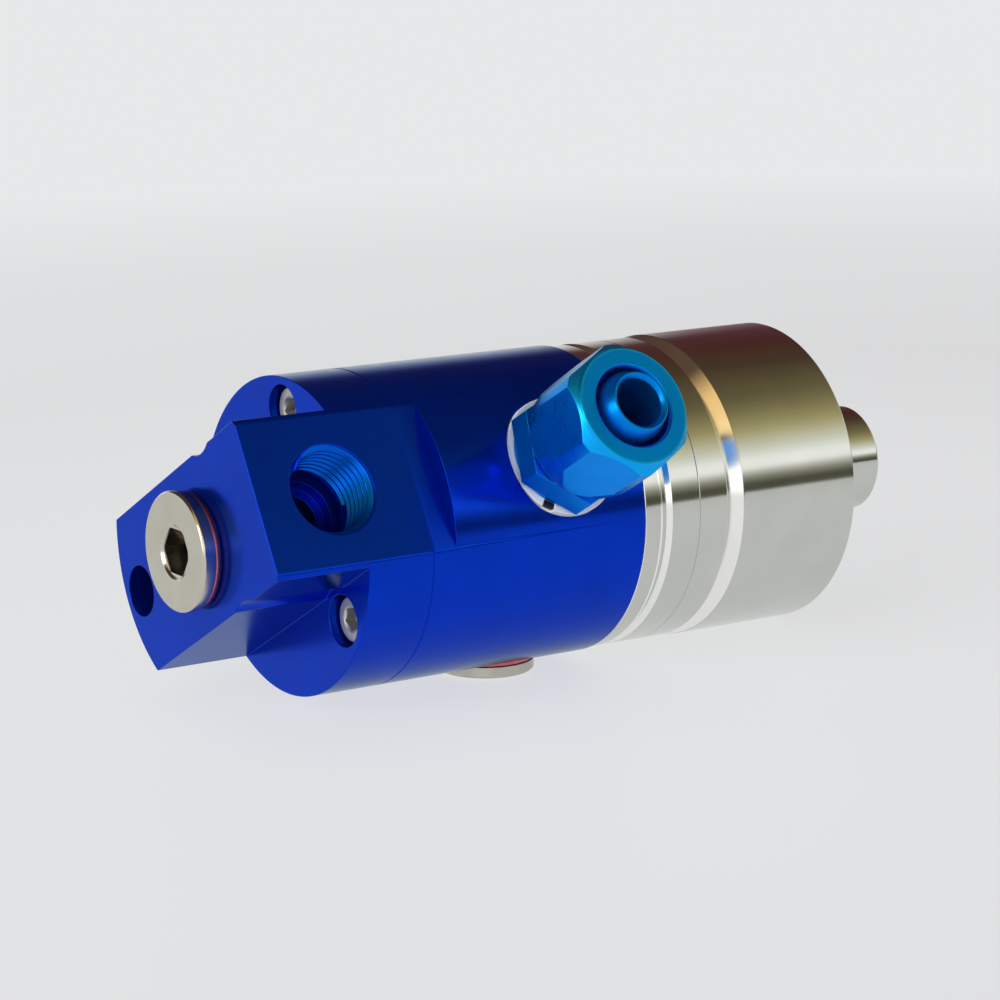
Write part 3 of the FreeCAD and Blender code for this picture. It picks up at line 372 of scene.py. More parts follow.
@dataclass(frozen=True)
class AnodisedAluminium(Finish):
    """Turned or milled aluminium, dyed in an anodising bath: deep colour with a metal's gloss under it."""

    metallic: float = 0.88
    shade: str = "#0a2fb0"
    line_spacing: float = 0.5
    line_depth: float = 0.00018
    edge: str = "#d3e1cb"
    # Colour of the painted highlight on the nut's front cone.
    rim: str = "#10acff"
    rim_sum: float = 0.0
    rim_slope: float = 0.906

    def detail(self, tree: Tree, shader: Node) -> None:
        """Adds faint turned lines, dye that varies a little, handling marks and, where rim_sum is set, a
        painted highlight.

        Args:
            tree: The material's node tree.
            shader: Its surface shader.
        """
        lathe = self.lathe_point(tree)
        place = self.place(tree)
        lines = fine_noise(tree, lathe, self.line_spacing, 3.0, flat=True)
        clouds = fine_noise(tree, place, 14.0, 3.0)
        marks = fine_noise(tree, place, 3.0, 4.0)
        dyed = tint(tree, spread(tree, clouds, 0.0, 1.0), self.colour, self.shade)
        # From here on, dyed also carries a painted highlight on the nut's front cone.
        if self.rim_sum:
            dyed = self.painted_rim_highlight(tree, lathe, dyed)
        tree.links.new(dyed, shader.inputs["Base Color"])
        low, high = self.roughness * 0.92, self.roughness * 1.12
        tree.links.new(spread(tree, marks, low, high), shader.inputs["Roughness"])
        shader.inputs["Specular Tint"].default_value = linear(self.edge)
        shader.inputs["Specular IOR Level"].default_value = 0.25
        relief(tree, shader, lines, self.line_depth)
        self.turned_gloss(tree, shader, 0.3)

    def painted_rim_highlight(self, tree: Tree, lathe: Socket, dyed: Socket) -> Socket:
        """Paints a highlight on the turned cone at the front: a paler colour than the flats beside it.

        A point lies on the cone where its radius and rim_slope times its station add up to rim_sum.

        Args:
            tree: The material's node tree.
            lathe: Station and radius in metres.
            dyed: Colour of the rest.

        Returns:
            The colour with the painted highlight on the cone.
        """
        total = add_node(tree, "ShaderNodeVectorMath", {1: (self.rim_slope, 1.0, 0.0)}, {0: lathe},
                         operation="DOT_PRODUCT").outputs["Value"]
        share = spread(tree, total, 0.0, 1.0, (self.rim_sum - 0.1) * MM, (self.rim_sum - 0.04) * MM)
        return blend(tree, share, dyed, self.rim)


@dataclass(frozen=True)
class TurnedSteel(Finish):
    """Stainless steel from the lathe: fine lines around the axis that draw each highlight out along it."""

    metallic: float = 1.0
    shade: str = "#bdbeb8"
    line_spacing: float = 0.35
    line_depth: float = 0.0003
    stretch: float = 0.85
    # Paler colour painted on the listed narrow chamfers as a painted highlight.
    faced: str = "#f8f8f4"
    highlight_cones: tuple[tuple[float, float], ...] = ()

    def detail(self, tree: Tree, shader: Node) -> None:
        """Adds lathe lines, twice as coarse as real ones so that they show, and a painted highlight in a
        paler colour on narrow chamfers.

        Args:
            tree: The material's node tree.
            shader: Its surface shader.
        """
        lathe = self.lathe_point(tree)
        place = self.place(tree)
        lines = fine_noise(tree, lathe, self.line_spacing, 4.0, flat=True)
        bands = fine_noise(tree, lathe, 2.4, 2.0, flat=True)
        clouds = fine_noise(tree, place, 9.0, 3.0)
        steel = tint(tree, spread(tree, clouds, 0.0, 1.0), self.colour, self.shade)
        station = add_node(tree, "ShaderNodeSeparateXYZ", links={0: lathe}).outputs[0]
        # Painted highlight: a paler colour inside each listed band of stations.
        for first, last in self.highlight_cones:
            middle, half = (first + last) / 2 * MM, (last - first) / 2 * MM
            inside = add_node(tree, "ShaderNodeMath", {1: middle, 2: half}, {0: station}, operation="COMPARE")
            steel = blend(tree, inside.outputs[0], steel, self.faced)
        tree.links.new(steel, shader.inputs["Base Color"])
        low, high = self.roughness * 0.95, self.roughness * 1.06
        tree.links.new(spread(tree, bands, low, high), shader.inputs["Roughness"])
        relief(tree, shader, lines, self.line_depth)
        self.turned_gloss(tree, shader, self.stretch)


@dataclass(frozen=True)
class PlainMetal(Finish):
    """Drawn, ground, pressed or annealed metal without a direction: soft gloss with small blotches."""

    metallic: float = 1.0
    shade: str = "#888888"
    blotch: float = 1.6
    grain: float = 0.25
    grain_depth: float = 0.001

    def detail(self, tree: Tree, shader: Node) -> None:
        """Adds blotches of the second colour, uneven gloss and a fine grain.

        Args:
            tree: The material's node tree.
            shader: Its surface shader.
        """
        place = self.place(tree)
        blotches = fine_noise(tree, place, self.blotch, 3.0)
        tree.links.new(tint(tree, spread(tree, blotches, 0.0, 1.0), self.colour, self.shade),
                       shader.inputs["Base Color"])
        low, high = self.roughness * 0.8, self.roughness * 1.3
        tree.links.new(spread(tree, blotches, low, high), shader.inputs["Roughness"])
        relief(tree, shader, fine_noise(tree, place, self.grain), self.grain_depth)


@dataclass(frozen=True)
class Moulded(Finish):
    """Nylon or rubber from a mould: a skin with a very fine pebble and a little cloudiness."""

    shade: str = "#808080"
    pebble: float = 0.3
    pebble_depth: float = 0.004
    glow: float = 0.0

    def detail(self, tree: Tree, shader: Node) -> None:
        """Adds cloudy colour, a pebbled skin and, for nylon, light that enters it.

        Args:
            tree: The material's node tree.
            shader: Its surface shader.
        """
        place = self.place(tree)
        clouds = fine_noise(tree, place, 4.0, 3.0)
        tree.links.new(tint(tree, spread(tree, clouds, 0.0, 1.0), self.colour, self.shade),
                       shader.inputs["Base Color"])
        low, high = self.roughness * 0.9, self.roughness * 1.15
        tree.links.new(spread(tree, clouds, low, high), shader.inputs["Roughness"])
        relief(tree, shader, fine_noise(tree, place, self.pebble), self.pebble_depth)
        shader.inputs["Subsurface Weight"].default_value = self.glow
        shader.inputs["Subsurface Radius"].default_value = (0.0012, 0.0012, 0.0012)


BLUE = AnodisedAluminium("blue_anodised_aluminium", "#0037ca", 0.19, metallic=0.82, shade="#0034be")
# The thread's blue is painted paler than the cap's, a painted highlight for light that bounces between its
# flanks.
BLUE_THREAD_PAINTED_LIGHT = AnodisedAluminium("blue_anodised_thread_painted_light", "#0064e0", 0.17, metallic=0.9, axis=Axis.PORT,
                                origin=Station.INLET.value, shade="#0058d4")
BLUE_DRAIN = AnodisedAluminium("light_blue_anodised_aluminium", "#008cf0", 0.34, metallic=0.88,
                               axis=Axis.DRAIN, origin=Station.DRAIN.value, shade="#0087ea",
                               line_depth=0.0005)
# rim_sum puts a painted highlight on the nut's front cone.
BLUE_NUT = AnodisedAluminium("light_blue_anodised_nut", "#0094ff", 0.28, metallic=0.88, axis=Axis.DRAIN,
                             origin=Station.DRAIN.value, shade="#008cf6", line_depth=0.0004, rim_sum=59.7)
# The listed bands are the chamfers and the rotor's front cone, which get a painted highlight.
STEEL = TurnedSteel("turned_stainless_steel", "#cfd0ca", 0.14, shade="#cacbc5",
                    highlight_cones=((-50.9, -50.3), (-47.0, -46.2), (-45.2, -44.2), (-30.4, -27.6)))
FACED_STEEL = TurnedSteel("faced_plug_steel", "#cdcabc", 0.16, shade="#c4c1b3", line_spacing=0.3)
FACED_STEEL_DOWN = TurnedSteel("faced_drain_plug_steel", "#cdcabc", 0.3, axis=Axis.DOWN,
                               origin=Station.DRAIN.value, shade="#bfbcae", line_spacing=0.3)
SCREW = PlainMetal("cold_headed_screw_steel", "#cfcec9", 0.4, metallic=0.7, shade="#bdbcb7")
BEARING = PlainMetal("ground_bearing_steel", "#c9c9c9", 0.12, shade="#c0c0c0", blotch=3.0)
BRASS = PlainMetal("machined_brass", "#c9a35a", 0.25, shade="#bd944a")
COPPER = PlainMetal("annealed_copper", "#d67c80", 0.3, shade="#c4666a")
NYLON = Moulded("white_nylon", "#eef1f2", 0.38, shade="#e4e9ec", glow=0.15)
BLACK_RUBBER = Moulded("black_nitrile_rubber", "#141414", 0.45, shade="#1c1c1c")
BROWN_RUBBER = Moulded("brown_fluoro_rubber", "#4a2416", 0.42, shade="#56301f")
CERAMIC = PlainMetal("lapped_ceramic", "#2c2d30", 0.15, metallic=0.0, shade="#26272a", blotch=0.5)
SPRING_WIRE = PlainMetal("drawn_spring_wire", "#b0afab", 0.28, shade="#9f9e9a", blotch=0.8)


def lathe(outline: Outline, steps: int = STEPS) -> Mesh:
    """Turns a closed outline about X.

    Args:
        outline: Corners as station and radius, in order.
        steps: Sides of the full turn.

    Returns:
        A closed mesh.
    """
    mesh = bmesh.new()
    corners = [mesh.verts.new((station, radius, 0)) for station, radius in outline]
    edges = [mesh.edges.new((corners[i - 1], corner)) for i, corner in enumerate(corners)]
    bmesh.ops.spin(mesh, geom=corners + edges, cent=(0, 0, 0), axis=(1, 0, 0), dvec=(0, 0, 0),
                   angle=FULL_TURN, steps=steps, use_merge=True)
    bmesh.ops.remove_doubles(mesh, verts=mesh.verts, dist=1e-4)
    bmesh.ops.recalc_face_normals(mesh, faces=mesh.faces)
    return mesh


def rod(start: float, end: float, radius: float, arm: float = 0.0, angle: float = 0.0,
        steps: int = 64) -> Mesh:
    """Cylinder parallel to X.

    Args:
        start: Its first station.
        end: Its last station.
        radius: Its radius.
        arm: Distance from the union's axis.
        angle: Where around the axis, in degrees from n towards -t.
        steps: Sides of the cylinder.

    Returns:
        A closed mesh.
    """
    mesh = bmesh.new()
    bmesh.ops.create_cone(mesh, cap_ends=True, segments=steps, radius1=radius, radius2=radius,
                          depth=end - start)
    bmesh.ops.rotate(mesh, verts=mesh.verts, matrix=Matrix.Rotation(math.pi / 2, 3, "Y"))
    bmesh.ops.translate(mesh, verts=mesh.verts, vec=((start + end) / 2, arm, 0))
    turn = Matrix.Rotation(math.pi - LEAN + math.radians(angle), 3, "X")
    bmesh.ops.rotate(mesh, verts=mesh.verts, matrix=turn)
    return mesh


def slab(low: tuple[float, float, float], high: tuple[float, float, float]) -> Mesh:
    """Box whose second direction is n and whose third is -t.

    Args:
        low: Its lowest corner.
        high: Its highest corner.

    Returns:
        A closed mesh.
    """
    mesh = bmesh.new()
    bmesh.ops.create_cube(mesh, size=1)
    bmesh.ops.scale(mesh, verts=mesh.verts, vec=[b - a for a, b in zip(low, high)])
    bmesh.ops.translate(mesh, verts=mesh.verts, vec=[(a + b) / 2 for a, b in zip(low, high)])
    bmesh.ops.rotate(mesh, verts=mesh.verts, matrix=Matrix.Rotation(math.pi - LEAN, 3, "X"))
    return mesh


def hexagon(across: float, start: float, end: float, turn: float = 0.0) -> Mesh:
    """Hexagonal bar along X.

    Args:
        across: Width across its flats.
        start: Its first station.
        end: Its last station.
        turn: Degrees from Y towards Z to a corner.

    Returns:
        A closed mesh.
    """
    mesh = bmesh.new()
    corner = across / (2 * math.cos(math.pi / 6))
    bmesh.ops.create_cone(mesh, cap_ends=True, segments=6, radius1=corner, radius2=corner, depth=end - start)
    bmesh.ops.rotate(mesh, verts=mesh.verts, matrix=Matrix.Rotation(math.pi / 2, 3, "Y"))
    bmesh.ops.rotate(mesh, verts=mesh.verts, matrix=Matrix.Rotation(math.radians(turn), 3, "X"))
    bmesh.ops.translate(mesh, verts=mesh.verts, vec=((start + end) / 2, 0, 0))
    return mesh


def screw_line(root: float, crest: float, pitch: float, start: float, end: float, steps: int = 72) -> Mesh:
    """Ridge of a screw thread about X, with rounded flanks.

    Args:
        root: Radius at the ridge's foot, which lies in its wall.
        crest: Radius at the ridge's top.
        pitch: Distance from one turn to the next.
        start: First station of its middle.
        end: Last station of its middle.
        steps: Sides of one turn.

    Returns:
        A closed mesh.
    """
    mesh = bmesh.new()
    rise = crest - root
    flank = [(0.49, 0.0), (0.3, 0.3), (0.14, 0.86), (0.06, 1.0)]
    shape = [(-x, y) for x, y in flank] + flank[::-1]
    corners = [mesh.verts.new((start + pitch * x, root + rise * y, 0)) for x, y in shape]
    edges = [mesh.edges.new((corners[i - 1], corner)) for i, corner in enumerate(corners)]
    count = max(1, round((end - start) / pitch * steps))
    made = bmesh.ops.spin(mesh, geom=corners + edges, cent=(0, 0, 0), axis=(1, 0, 0),
                          dvec=((end - start) / count, 0, 0),
                          angle=FULL_TURN * (end - start) / pitch, steps=count)
    last = [item for item in made["geom_last"] if isinstance(item, Edge)]
    bmesh.ops.contextual_create(mesh, geom=edges)
    bmesh.ops.contextual_create(mesh, geom=last)
    bmesh.ops.recalc_face_normals(mesh, faces=mesh.faces)
    return mesh


def stand(mesh: Mesh, axis: Axis, station: float) -> Mesh:
    """Moves a mesh made about X onto a radial axis.

    Args:
        mesh: Mesh that is moved.
        axis: Radial axis.
        station: Where the axis leaves the union's axis.

    Returns:
        The same mesh.
    """
    bmesh.ops.transform(mesh, matrix=Matrix.Translation((station, 0, 0)) @ axis.value, verts=mesh.verts)
    return mesh


def stock(mesh: Mesh) -> bpy.types.Object:
    """Puts a mesh in the scene as a passing object.

    Args:
        mesh: Mesh that is used up.

    Returns:
        The object.
    """
    data = bpy.data.meshes.new("stock")
    mesh.to_mesh(data)
    mesh.free()
    made = bpy.data.objects.new("stock", data)
    bpy.context.scene.collection.objects.link(made)
    return made


def carve(blank: Mesh, tools: Sequence[Mesh], action: str = "DIFFERENCE") -> Mesh:
    """Cuts tools out of a blank, or keeps what they share with it.

    Args:
        blank: Mesh that is worked on.
        tools: Meshes that work on it, one after another.
        action: DIFFERENCE, INTERSECT or UNION.

    Returns:
        What is left.
    """
    work = stock(blank)
    cutters = [stock(tool) for tool in tools]
    for cutter in cutters:
        cut = work.modifiers.new("cut", "BOOLEAN")
        cut.operation = action
        cut.solver = "EXACT"
        cut.object = cutter
    graph = bpy.context.evaluated_depsgraph_get()
    result = bmesh.new()
    result.from_object(work, graph)
    for used in [work, *cutters]:
        data = used.data
        bpy.data.objects.remove(used)
        bpy.data.meshes.remove(data)
    bmesh.ops.remove_doubles(result, verts=result.verts, dist=0.002)
    bmesh.ops.dissolve_degenerate(result, edges=result.edges, dist=0.002)
    bmesh.ops.dissolve_limit(result, angle_limit=math.radians(0.3), verts=result.verts, edges=result.edges)
    return result


def ease(mesh: Mesh, width: float = 0.22, segments: int = 2, angle: float = 32.0,
         spare: Callable[[Edge], bool] = lambda edge: False) -> Mesh:
    """Rounds every sharp edge a little, as a deburring tool leaves it.

    Args:
        mesh: Mesh that is worked on.
        width: How far the rounding reaches from the edge.
        segments: Faces of the rounding.
        angle: Least bend of an edge that is rounded, in degrees.
        spare: Tells whether an edge stays as it is.

    Returns:
        The same mesh.
    """
    sharp = [edge for edge in mesh.edges
             if edge.is_manifold and edge.calc_face_angle(0) > math.radians(angle) and not spare(edge)]
    bmesh.ops.bevel(mesh, geom=sharp, offset=width, offset_type="OFFSET", segments=segments, profile=0.5,
                    affect="EDGES", clamp_overlap=False, material=-1, loop_slide=True)
    return mesh


def milled_together(edge: Edge) -> bool:
    """Tells whether an edge lies where cap and housing meet on the flat, milled over both at once.

    Args:
        edge: Edge of the cap or housing.

    Returns:
        True where no edge shows on the real union.
    """
    near = 0.05
    normal = Vector((0, -math.cos(LEAN), math.sin(LEAN)))
    return all(abs(vert.co.x - Station.JOINT.value) < near and abs(vert.co @ normal - FLAT) < near
               for vert in edge.verts)


def half_step(mesh: Mesh) -> Mesh:
    """Turns a blank by half a side, so that no side's edge falls beside a milled one.

    Args:
        mesh: Blank from the lathe.

    Returns:
        The same mesh.
    """
    bmesh.ops.rotate(mesh, verts=mesh.verts, matrix=Matrix.Rotation(math.pi / STEPS, 3, "X"))
    return mesh


def join(meshes: Sequence[Mesh]) -> Mesh:
    """Puts separate meshes into one.

    Args:
        meshes: Meshes that are used up.

    Returns:
        One mesh with them all.
    """
    whole = bmesh.new()
    for mesh in meshes:
        part = bpy.data.meshes.new("part")
        mesh.to_mesh(part)
        mesh.free()
        whole.from_mesh(part)
        bpy.data.meshes.remove(part)
    return whole


def show(mesh: Mesh, name: str, body: str, finish: Finish,
         nodes: Sequence[str] = ()) -> bpy.types.Object:
    """Finishes a mesh as a piece of the union.

    Args:
        mesh: Mesh in millimetres, which is used up.
        name: Name of the piece.
        body: CAD body that it rides on.
        finish: Its surface.
        nodes: CAD nodes that it stands for.

    Returns:
        The piece.
    """
    bmesh.ops.scale(mesh, verts=mesh.verts, vec=(MM, MM, MM))
    data = bpy.data.meshes.new(name)
    mesh.to_mesh(data)
    mesh.free()
    data.shade_smooth()
    data.set_sharp_from_angle(angle=math.radians(50))
    data.materials.append(finish.material())
    piece = bpy.data.objects.new(name, data)
    bpy.context.scene.collection.objects.link(piece)
    smooth = piece.modifiers.new("even_normals", "WEIGHTED_NORMAL")
    smooth.keep_sharp = True
    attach(piece, body)
    if nodes:
        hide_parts(*nodes)
    LOG.info("%s: %d faces on %s", name, len(data.polygons), body)
    return piece


def dress(node: str, finish: Finish) -> None:
    """Gives a CAD node its finish.

    Args:
        node: Name of the node.
        finish: Its surface.
    """
    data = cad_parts[node].data
    data.materials.clear()
    data.materials.append(finish.material())
    LOG.info("%s: dressed as %s", node, finish.name)


@dataclass
class EndCap:
    """Blue cap: round flange, milled block and threaded inlet."""

    half_width: float = 14.9
    bore: float = 5.75
    tube: float = 8.53
    register: float = 17.97
    spring_pocket: float = 12.3
    port_crest: float = 7.42
    port_pitch: float = 1.62
    thread_floor: float = 14.6
    pocket_radius: float = 4.75
    pocket_depth: float = 8.2
    cutter_radius: float = 6.2

    def blank(self) -> Mesh:
        """Turns the flange, its bores and its register.

        Returns:
            The turned blank.
        """
        front, joint, hub = Station.BLOCK.value, Station.JOINT.value, Station.HUB.value
        tube_start, ring_start, ring_end, pocket = -99.05, -96.3, -93.9, -90.0
        ring = 1.9
        return lathe([
            (front, PORT_RADIUS + 0.7), (front + 0.7, PORT_RADIUS), (front + 10, PORT_RADIUS),
            (front + 12.58, self.bore), (tube_start, self.bore), (tube_start, self.tube),
            (ring_start, self.tube), (ring_start, self.tube + ring), (ring_end, self.tube + ring),
            (ring_end, self.tube), (pocket, self.tube), (pocket, self.spring_pocket),
            (hub, self.spring_pocket), (hub, self.register), (ring_end, self.register),
            (ring_end, 16.1), (ring_start, 16.1), (ring_start, self.register),
            (joint, self.register), (joint, BODY_RADIUS), (front, BODY_RADIUS),
        ])

    def side(self, mirrored: bool) -> Mesh:
        """Makes what the cutter takes off one side of the block, with its round pass by the screw.

        Args:
            mirrored: True for the side towards t.

        Returns:
            A closed mesh.
        """
        start, shoulder = Station.BLOCK.value - 2, Station.SHOULDER.value
        along, over = (SCREW_CIRCLE * part(math.radians(60)) for part in (math.cos, math.sin))
        half = math.acos((over - self.half_width) / self.cutter_radius)
        mesh = bmesh.new()
        edge = mesh.verts.new((start, along - self.cutter_radius * math.sin(half), self.half_width))
        steps, far = 20, 40
        bmesh.ops.spin(mesh, geom=[edge], cent=(0, along, over), axis=(1, 0, 0), dvec=(0, 0, 0),
                       angle=2 * half, steps=steps)
        mesh.verts.ensure_lookup_table()
        ring = [*mesh.verts]
        ring += [mesh.verts.new((start, n, m)) for n, m in ((far, self.half_width), (far, far), (-far, far),
                                                           (-far, self.half_width))]
        for first, second in zip(ring[steps:], [*ring[steps + 1:], ring[0]]):
            mesh.edges.new((first, second))
        bmesh.ops.contextual_create(mesh, geom=mesh.edges)
        pushed = bmesh.ops.extrude_face_region(mesh, geom=mesh.faces[:])
        moved = [item for item in pushed["geom"] if isinstance(item, bmesh.types.BMVert)]
        bmesh.ops.translate(mesh, verts=moved, vec=(shoulder - start, 0, 0))
        if mirrored:
            bmesh.ops.scale(mesh, verts=mesh.verts, vec=(1, 1, -1))
        bmesh.ops.recalc_face_normals(mesh, faces=mesh.faces)
        bmesh.ops.rotate(mesh, verts=mesh.verts, matrix=Matrix.Rotation(math.pi - LEAN, 3, "X"))
        return mesh

    def cutters(self) -> list[Mesh]:
        """Makes what is milled, bored and drilled away.

        Returns:
            One closed mesh for each cut.
        """
        front, shoulder, joint = Station.BLOCK.value, Station.SHOULDER.value, Station.JOINT.value
        pin_circle, pin_radius, clearance_hole = 15.4, 1.5, 2.75
        relief_start, relief_end, relief_radius = 12.6, self.thread_floor, PORT_RADIUS + 0.6
        cuts = [self.side(False), self.side(True), slab((front - 3, FLAT, -40), (joint + 2, 40, 40))]
        cuts += [rod(front - 1, shoulder + self.pocket_depth, self.pocket_radius, SCREW_CIRCLE, angle)
                 for angle in SCREW_ANGLES]
        cuts += [rod(shoulder + 3, joint + 1, clearance_hole, SCREW_CIRCLE, angle) for angle in SCREW_ANGLES]
        cuts += [rod(-92.0, Station.HUB.value + 1, pin_radius, pin_circle, angle, 32)
                 for angle in (90.0, 270.0)]
        port = lathe([
            (0, 0), (0, 4.5), (10.2, 4.5), (10.2, 6.3), (relief_start, 6.3), (relief_start, relief_radius),
            (relief_end, relief_radius), (relief_end, PORT_RADIUS), (FLAT - 0.12, PORT_RADIUS),
            (FLAT + 0.02, PORT_RADIUS + 0.14), (FLAT + 3, PORT_RADIUS + 0.14), (FLAT + 3, 0),
        ], 128)
        cuts.append(stand(port, Axis.PORT, Station.INLET.value))
        return cuts

    def build(self) -> None:
        """Shows the cap and its inlet thread."""
        cap = ease(carve(half_step(self.blank()), self.cutters()), 0.16, 3, spare=milled_together)
        show(cap, "cap_with_block", "stator", BLUE, ["end_cap", "end_cap_block"])
        ridge = screw_line(PORT_RADIUS + 0.06, self.port_crest, self.port_pitch, self.thread_floor + 0.5,
                           FLAT - 0.62)
        show(stand(ridge, Axis.PORT, Station.INLET.value), "inlet_thread", "stator", BLUE_THREAD_PAINTED_LIGHT)


@dataclass
class Housing:
    """Blue housing with the end of the milled flat and two spot-faced drains."""

    cavity: float = 18.0
    sleeve: float = 25.0
    shoulder: float = -57.8
    edge: float = 0.3
    countersink: float = 0.7

    def build(self) -> None:
        """Shows the housing."""
        joint, end = Station.JOINT.value, Station.HOUSING.value
        blank = lathe([(joint, self.cavity), (self.shoulder, self.cavity), (self.shoulder, self.sleeve),
                       (end, self.sleeve), (end, BODY_RADIUS), (joint + self.edge, BODY_RADIUS),
                       (joint, BODY_RADIUS - self.edge)])
        cuts = [slab((joint - 2, FLAT, -40), (Station.FLAT_END.value, 40, 40))]
        cuts += [rod(joint - 1, joint + 13, 2.5, SCREW_CIRCLE, angle, 40) for angle in SCREW_ANGLES]
        for axis, thread, seat in ((Axis.DRAIN, PORT_RADIUS, 11.65), (Axis.DOWN, 6.58, 9.75)):
            hole = lathe([(5, 0), (5, thread), (SPOT_FACE - self.countersink, thread),
                          (SPOT_FACE, thread + self.countersink), (SPOT_FACE, seat), (40, seat),
                          (40, 0)], 128)
            cuts.append(stand(hole, axis, Station.DRAIN.value))
        cylinder = ease(carve(half_step(blank), cuts), 0.12, spare=milled_together)
        show(cylinder, "blue_housing", "stator", BLUE, ["housing"])


@dataclass
class InletPlug:
    """Screw plug in the cap's axial inlet, with its copper washer."""

    flange: float = 11.0
    face: float = -133.7
    socket: float = 8.0
    socket_depth: float = 7.0

    def build(self) -> None:
        """Shows plug and washer."""
        corner = self.socket / (2 * math.cos(math.pi / 6))
        block = Station.BLOCK.value
        seat = block - 1.5
        blank = lathe([(self.face + 0.5, 0), (self.face + 0.5, corner), (self.face, corner + 0.55),
                       (self.face, self.flange - 0.35), (self.face + 0.35, self.flange), (seat, self.flange),
                       (seat, 8.2), (-120.2, 8.2), (-120.2, 0)], 144)
        drill = lathe([(self.face - 1, 0), (self.face - 1, 3.9), (self.face + self.socket_depth, 3.9),
                       (self.face + self.socket_depth + 2.2, 0)], 96)
        broach = hexagon(self.socket, self.face - 1, self.face + self.socket_depth - 0.4, 180.0)
        plug = ease(carve(blank, [drill, broach]), 0.12)
        show(plug, "inlet_screw_plug", "stator", FACED_STEEL, ["inlet_plug"])
        ring = lathe([(seat + 0.04, 8.5), (block - 0.02, 8.5), (block - 0.02, 10.7),
                      (seat + 0.04, 10.7)], 144)
        show(ease(ring, 0.45, 4), "inlet_copper_washer", "stator", COPPER, ["inlet_plug_washer"])


@dataclass
class CapScrews:
    """Three socket head screws in the cap's flange."""

    head_start: float = -109.2
    head_end: float = -102.7
    tip: float = -86.9
    head: float = 4.25
    shank: float = 2.5

    def screw(self, angle: float) -> Mesh:
        """Makes one screw.

        Args:
            angle: Where around the axis, in degrees from n towards -t.

        Returns:
            The screw as a closed mesh.
        """
        start, end = self.head_start, self.head_end
        blank = lathe([(start, 0), (start, self.head - 0.55), (start + 0.16, self.head - 0.16),
                       (start + 0.55, self.head), (end, self.head), (end, self.shank),
                       (self.tip, self.shank), (self.tip, 0)], 72)
        drill = lathe([(start - 1, 0), (start - 1, 1.95), (start + 2.5, 1.95), (start + 3.4, 0)], 48)
        funnel = lathe([(start - 0.1, 0), (start - 0.1, 2.55), (start + 0.35, 2.1), (start + 0.35, 0)], 48)
        made = ease(carve(blank, [drill, funnel, hexagon(4.0, start - 1, start + 2.4, 12)]), 0.06)
        bmesh.ops.translate(made, verts=made.verts, vec=(0, SCREW_CIRCLE, 0))
        turn = Matrix.Rotation(math.pi - LEAN + math.radians(angle), 3, "X")
        bmesh.ops.rotate(made, verts=made.verts, matrix=turn)
        return made

    def build(self) -> None:
        """Shows the three screws as one piece."""
        screws = join([self.screw(angle) for angle in SCREW_ANGLES])
        show(screws, "socket_head_screws", "stator", SCREW, ["cap_screws"])


